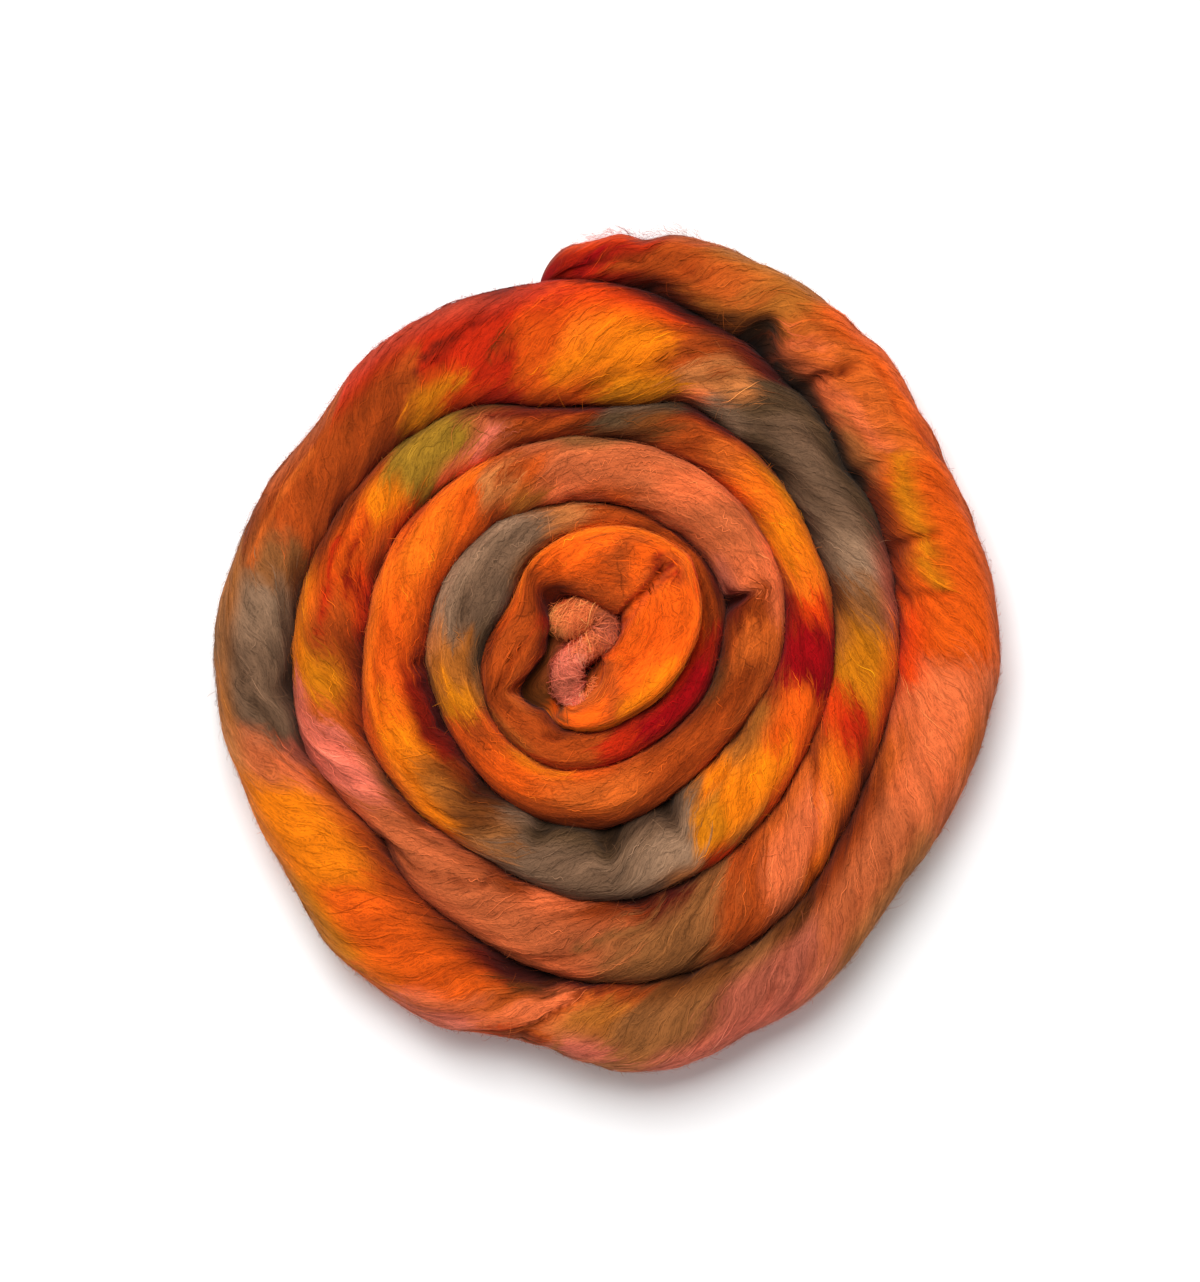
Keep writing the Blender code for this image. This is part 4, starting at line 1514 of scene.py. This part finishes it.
    def cells(self, count: int, stations: int, template: Array, station: Array) -> Array:
        """Corner places of the locks on the map: a cell for each lock, with a band for each side."""
        columns = 14
        rows = -(-count // columns)
        cell = np.stack([np.arange(count) % columns, np.arange(count) // columns], -1)
        u = station[template] / (stations - 1)
        band = np.repeat(np.arange(3), len(template) // 3)[:, None]
        order = np.arange(len(station)) % 3
        edge = np.where(order == 0, 2, order - 1)[template]
        v = (band + 0.15 + 0.7 * (edge != band)) / 3
        return np.stack([
            (cell[:, None, None, 0] + 0.02 + 0.96 * u[None]) / columns,
            (cell[:, None, None, 1] + 0.08 + 0.84 * v[None]) / rows,
        ], -1).reshape(-1, 2)


@dataclass
class LockLayer:
    """Locks over a stretch of the winding, as one piece."""

    name: str
    winding: Winding
    bath: DyeBath
    first: float
    last: float
    seed: int
    shape: LockShape
    finish: WoolFinish
    count: int = 3000
    side_width: float = 14.0
    low: float = -4.0
    high: float = 184.0
    rim_start: float = 1895.0
    rim_low: float = -50.0

    def build(self) -> bpy.types.Object:
        """Make the layer, spread evenly over the strand's top, and over the outer side of the rim."""
        rng = np.random.default_rng(self.seed)
        angle = np.linspace(self.first, self.last, 800)
        wide = self.winding.width(angle) + self.side_width
        area = np.cumsum(np.gradient(self.winding.length_at(angle)) * wide)
        spread = (np.arange(self.count) + rng.uniform(0, 1, self.count)) / self.count
        along = np.interp(spread * area[-1], area, angle)
        golden = (np.arange(self.count) * GOLDEN + rng.uniform(0, 1)) % 1.0
        low = np.where(along > self.rim_start, self.rim_low, self.low)
        psi = np.radians(low + (self.high - low) * golden)
        return Locks(self.winding, self.bath, self.shape, self.seed).build(
            self.name, along, psi, self.finish)


@dataclass
class CurlLocks:
    """Locks or loose hairs of the curled inner end, as one piece.

    Attributes:
        name: The piece's name.
        curl: The curl that they lie on.
        dye: Its dye.
        count: Number of locks.
        seed: Picks the locks.
        shape: Their sizes.
    """

    name: str
    curl: Curl
    dye: CurlDye
    count: int
    seed: int
    shape: LockShape

    def build(self) -> bpy.types.Object:
        """Make the locks of the curl."""
        rng = np.random.default_rng(self.seed)
        along = rng.uniform(1.0, self.curl.length - 1.0, self.count)
        psi = np.radians(rng.uniform(-40.0, 220.0, self.count))
        locks = Locks(self.curl, self.dye, self.shape, self.seed)
        return locks.build(self.name, along, psi, WoolFinish("wool_curl_locks", streaks=0.0))


@dataclass
class Frizz:
    """Loose hairs that stand off a stretch of the strand and cross its locks at any angle.

    Attributes:
        name: The piece's name.
        winding: The strand.
        bath: Its dye.
        first: Winding angle at which the stretch starts.
        last: Winding angle at which it ends.
        low: Lowest place around the section, in degrees.
        high: Highest place around the section, in degrees.
        size: Shortest and longest hair in mm.
        rise: Least and most that a hair stands off, as a share of its length.
        count: Number of hairs.
        seed: Picks the hairs.
        stations: Number of places along a hair, with both tips.
        spread: How far the hairs' headings spread from the strand's own direction, in radians.
        width: Narrowest and widest hair in mm.
        mirrored: Whether every other hair grows on the inner side instead.
        towards_crown: How much higher up the side than its root a hair takes its dye, in radians; there
        the painted crevice shade is lighter.
        sideways: How far from its heading a hair bends, in radians.
        arch: How much of a half wave a hair's rise takes up.
        lighter: How much lighter a hair is than the wool that it grows from.
        tint: How much tan is added to its dye.
    """

    name: str
    winding: Winding
    bath: DyeBath
    first: float
    last: float
    low: float
    high: float
    size: Pair
    rise: Pair
    count: int
    seed: int
    stations: int
    spread: float = 1.0
    width: Pair = (0.08, 0.14)
    mirrored: bool = False
    towards_crown: float = 0.9
    sideways: float = 1.3
    arch: float = 0.72
    lighter: float = 1.1
    tint: float = 0.05

    def build(self) -> bpy.types.Object:
        """Make the hairs: a curved line from the surface outwards, with a slow random bend."""
        winding, rng = self.winding, np.random.default_rng(self.seed)
        span = winding.length_at(np.array([self.first, self.last]))
        angle = winding.angle_at(rng.uniform(*span, self.count))
        psi = rng.uniform(self.low, self.high, self.count)
        psi = np.radians(np.where(self.mirrored * (np.arange(self.count) % 2) > 0, 180.0 - psi, psi))
        root, normal = winding.place(angle, psi, np.zeros(self.count))
        ahead, _ = winding.place(angle + 0.4, psi, np.zeros(self.count))
        forward = unit(ahead - root)
        side = np.cross(normal, forward)
        heading = rng.normal(0, self.spread, (self.count, 1))
        lean = forward * np.cos(heading) + side * np.sin(heading)
        bent = heading + self.sideways
        bend = forward * np.cos(bent) + side * np.sin(bent)
        share = np.linspace(0, 1, self.stations)[None, :, None]
        size = rng.uniform(*self.size, (self.count, 1, 1))
        rise = rng.uniform(*self.rise, (self.count, 1, 1))
        curl = rng.normal(0, 0.5, (self.count, 1, 1))
        middle = root[:, None] + size * (
            lean[:, None] * share + bend[:, None] * curl * share**2
            + normal[:, None] * rise * np.sin(np.pi * share * self.arch)
        )
        middle[..., 2] = np.maximum(middle[..., 2], 0.3)
        upward = np.broadcast_to(normal[:, None], middle.shape)
        # the dye, painted shade included, is taken higher up the side, where that shade is lighter
        brighter = psi + self.towards_crown * np.sign(np.cos(psi)) * (1 - np.abs(np.sin(psi)))
        where, around = np.broadcast_arrays(angle[:, None], brighter[:, None] + 0 * share[..., 0])
        colours = self.bath.colour(where, around, np.zeros(where.shape))
        colours = colours * self.lighter + self.tint * TN.linear
        width = rng.uniform(*self.width, (self.count, 1))
        locks = Locks(winding, self.bath, LockShape(stations=self.stations), self.seed)
        run = size[..., 0] * share[..., 0]
        finish = WoolFinish("wool_" + self.name, streaks=0.0)
        return locks.spindles(middle, upward, width, colours, run).build(self.name, finish.material())


# ------------------------------------------------------------------------------------ the studio


@dataclass
class Studio:
    """A white ground, a soft sky, a key light from the upper left and a camera straight above."""

    photo_width: float = 1200.0
    photo_height: float = 1282.0
    mm_per_pixel: float = 0.40
    eye_pixel: Pair = (600.0, 655.0)
    camera_height: float = 1.9
    crown_height: float = 0.028
    sensor: float = 36.0
    floor_size: float = 6.0
    sky_strength: float = 0.36
    key_place: Triple = (-0.33, 1.10, 1.95)
    key_size: float = 1.5
    key_power: float = 64.0

    def floor(self) -> None:
        """Lay the ground just under the rest face."""
        half = self.floor_size / 2
        mesh = bpy.data.meshes.new("ground")
        corners = [(-half, -half, -1e-4), (half, -half, -1e-4), (half, half, -1e-4), (-half, half, -1e-4)]
        mesh.from_pydata(corners, [], [(0, 1, 2, 3)])
        mesh.materials.append(FloorFinish().material())
        ground = bpy.data.objects.new("ground", mesh)
        bpy.context.scene.collection.objects.link(ground)

    def lights(self) -> None:
        """Add the soft sky, and a large square key light from the upper left, aimed at the winding."""
        world = bpy.data.worlds.new("soft_sky")
        world.use_nodes = True
        sky = world.node_tree.nodes["Background"]
        sky.inputs["Color"].default_value = (1.0, 1.0, 1.0, 1.0)
        sky.inputs["Strength"].default_value = self.sky_strength
        bpy.context.scene.world = world
        lamp = bpy.data.lights.new("key", "AREA")
        lamp.size = self.key_size
        lamp.energy = self.key_power
        key = bpy.data.objects.new("key", lamp)
        key.location = self.key_place
        key.rotation_euler = (-Vector(self.key_place)).to_track_quat("-Z", "Y").to_euler()
        bpy.context.scene.collection.objects.link(key)

    def camera(self, winding: Winding) -> None:
        """Stand the camera over the middle of the photo's frame, looking straight down."""
        scale = self.mm_per_pixel
        x = winding.eye_x + (self.photo_width / 2 - self.eye_pixel[0]) * scale
        y = winding.eye_y - (self.photo_height / 2 - self.eye_pixel[1]) * scale
        lens = bpy.data.cameras.new("camera")
        lens.sensor_fit = "HORIZONTAL"
        lens.sensor_width = self.sensor
        wide = self.photo_width * scale * MM
        lens.lens = self.sensor * (self.camera_height - self.crown_height) / wide
        lens.clip_end = 20.0
        camera = bpy.data.objects.new("camera", lens)
        camera.location = (x * MM, y * MM, self.camera_height)
        bpy.context.scene.collection.objects.link(camera)
        bpy.context.scene.camera = camera

    def build(self, winding: Winding) -> None:
        """Set up the ground, the lights and the camera."""
        self.floor()
        self.lights()
        self.camera(winding)
        bpy.context.scene.view_settings.view_transform = "Standard"


# ------------------------------------------------------------------------------------ main


def main() -> None:
    """Build the roving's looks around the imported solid."""
    logging.basicConfig(level=logging.INFO, format="%(name)s: %(message)s")
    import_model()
    winding = Winding()
    bath = DyeBath(winding)
    Studio().build(winding)

    core = Core(winding, bath).build()
    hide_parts(NODE)
    curl = Curl(winding)
    curl_dye = CurlDye(curl)
    CurlCore(curl, curl_dye).build()
    CurlLocks("inner_curl_locks", curl, curl_dye, count=1000, seed=77, shape=CURL_LOCK).build()
    CurlLocks("inner_curl_wisps", curl, curl_dye, count=460, seed=78, shape=CURL_WISP).build()
    lock_finish = WoolFinish("wool_locks", bump=0.05)
    hair_finish = WoolFinish("wool_hairs", streaks=0.0)
    for name, first, last, seed, shape, finish in (
        ("locks_inner", 238.0, 1500.0, 101, LockShape(), lock_finish),
        ("locks_outer", 1490.0, 2256.0, 202, LockShape(), lock_finish),
        ("hairs_inner", 238.0, 1300.0, 303, CURLY_HAIR, hair_finish),
        ("hairs_middle", 1300.0, 1800.0, 404, WAVY_HAIR, hair_finish),
        ("hairs_outer", 1800.0, 2256.0, 505, LONG_HAIR, hair_finish),
    ):
        LockLayer(name, winding, bath, first, last, seed, shape, finish).build()
    thin = (0.08, 0.13)
    for frizz in (
        Frizz("frizz", winding, bath, first=300, last=2255, low=5, high=175, size=(3.0, 9.0),
              rise=(0.08, 0.36), count=1500, seed=91, stations=7),
        Frizz("crevice_fuzz", winding, bath, first=620, last=2250, low=10, high=60, size=(2.0, 5.0),
              rise=(0.1, 0.45), count=1200, seed=95, stations=5, mirrored=True),
        Frizz("rim_fuzz", winding, bath, first=1900, last=2256, low=-20, high=38, size=(1.4, 4.4),
              rise=(0.15, 0.5), count=2800, seed=92, stations=5),
        Frizz("rim_wisps", winding, bath, first=1900, last=1960, low=-10, high=40, size=(3.0, 6.0),
              rise=(0.2, 0.45), count=160, seed=93, stations=8, spread=0.8, width=thin),
        Frizz("tail_wisps", winding, bath, first=2236, last=2251, low=-20, high=30, size=(6.0, 12.0),
              rise=(0.15, 0.45), count=260, seed=94, stations=8, spread=0.7, width=thin),
    ):
        frizz.build()


if __name__ == "__main__":
    main()
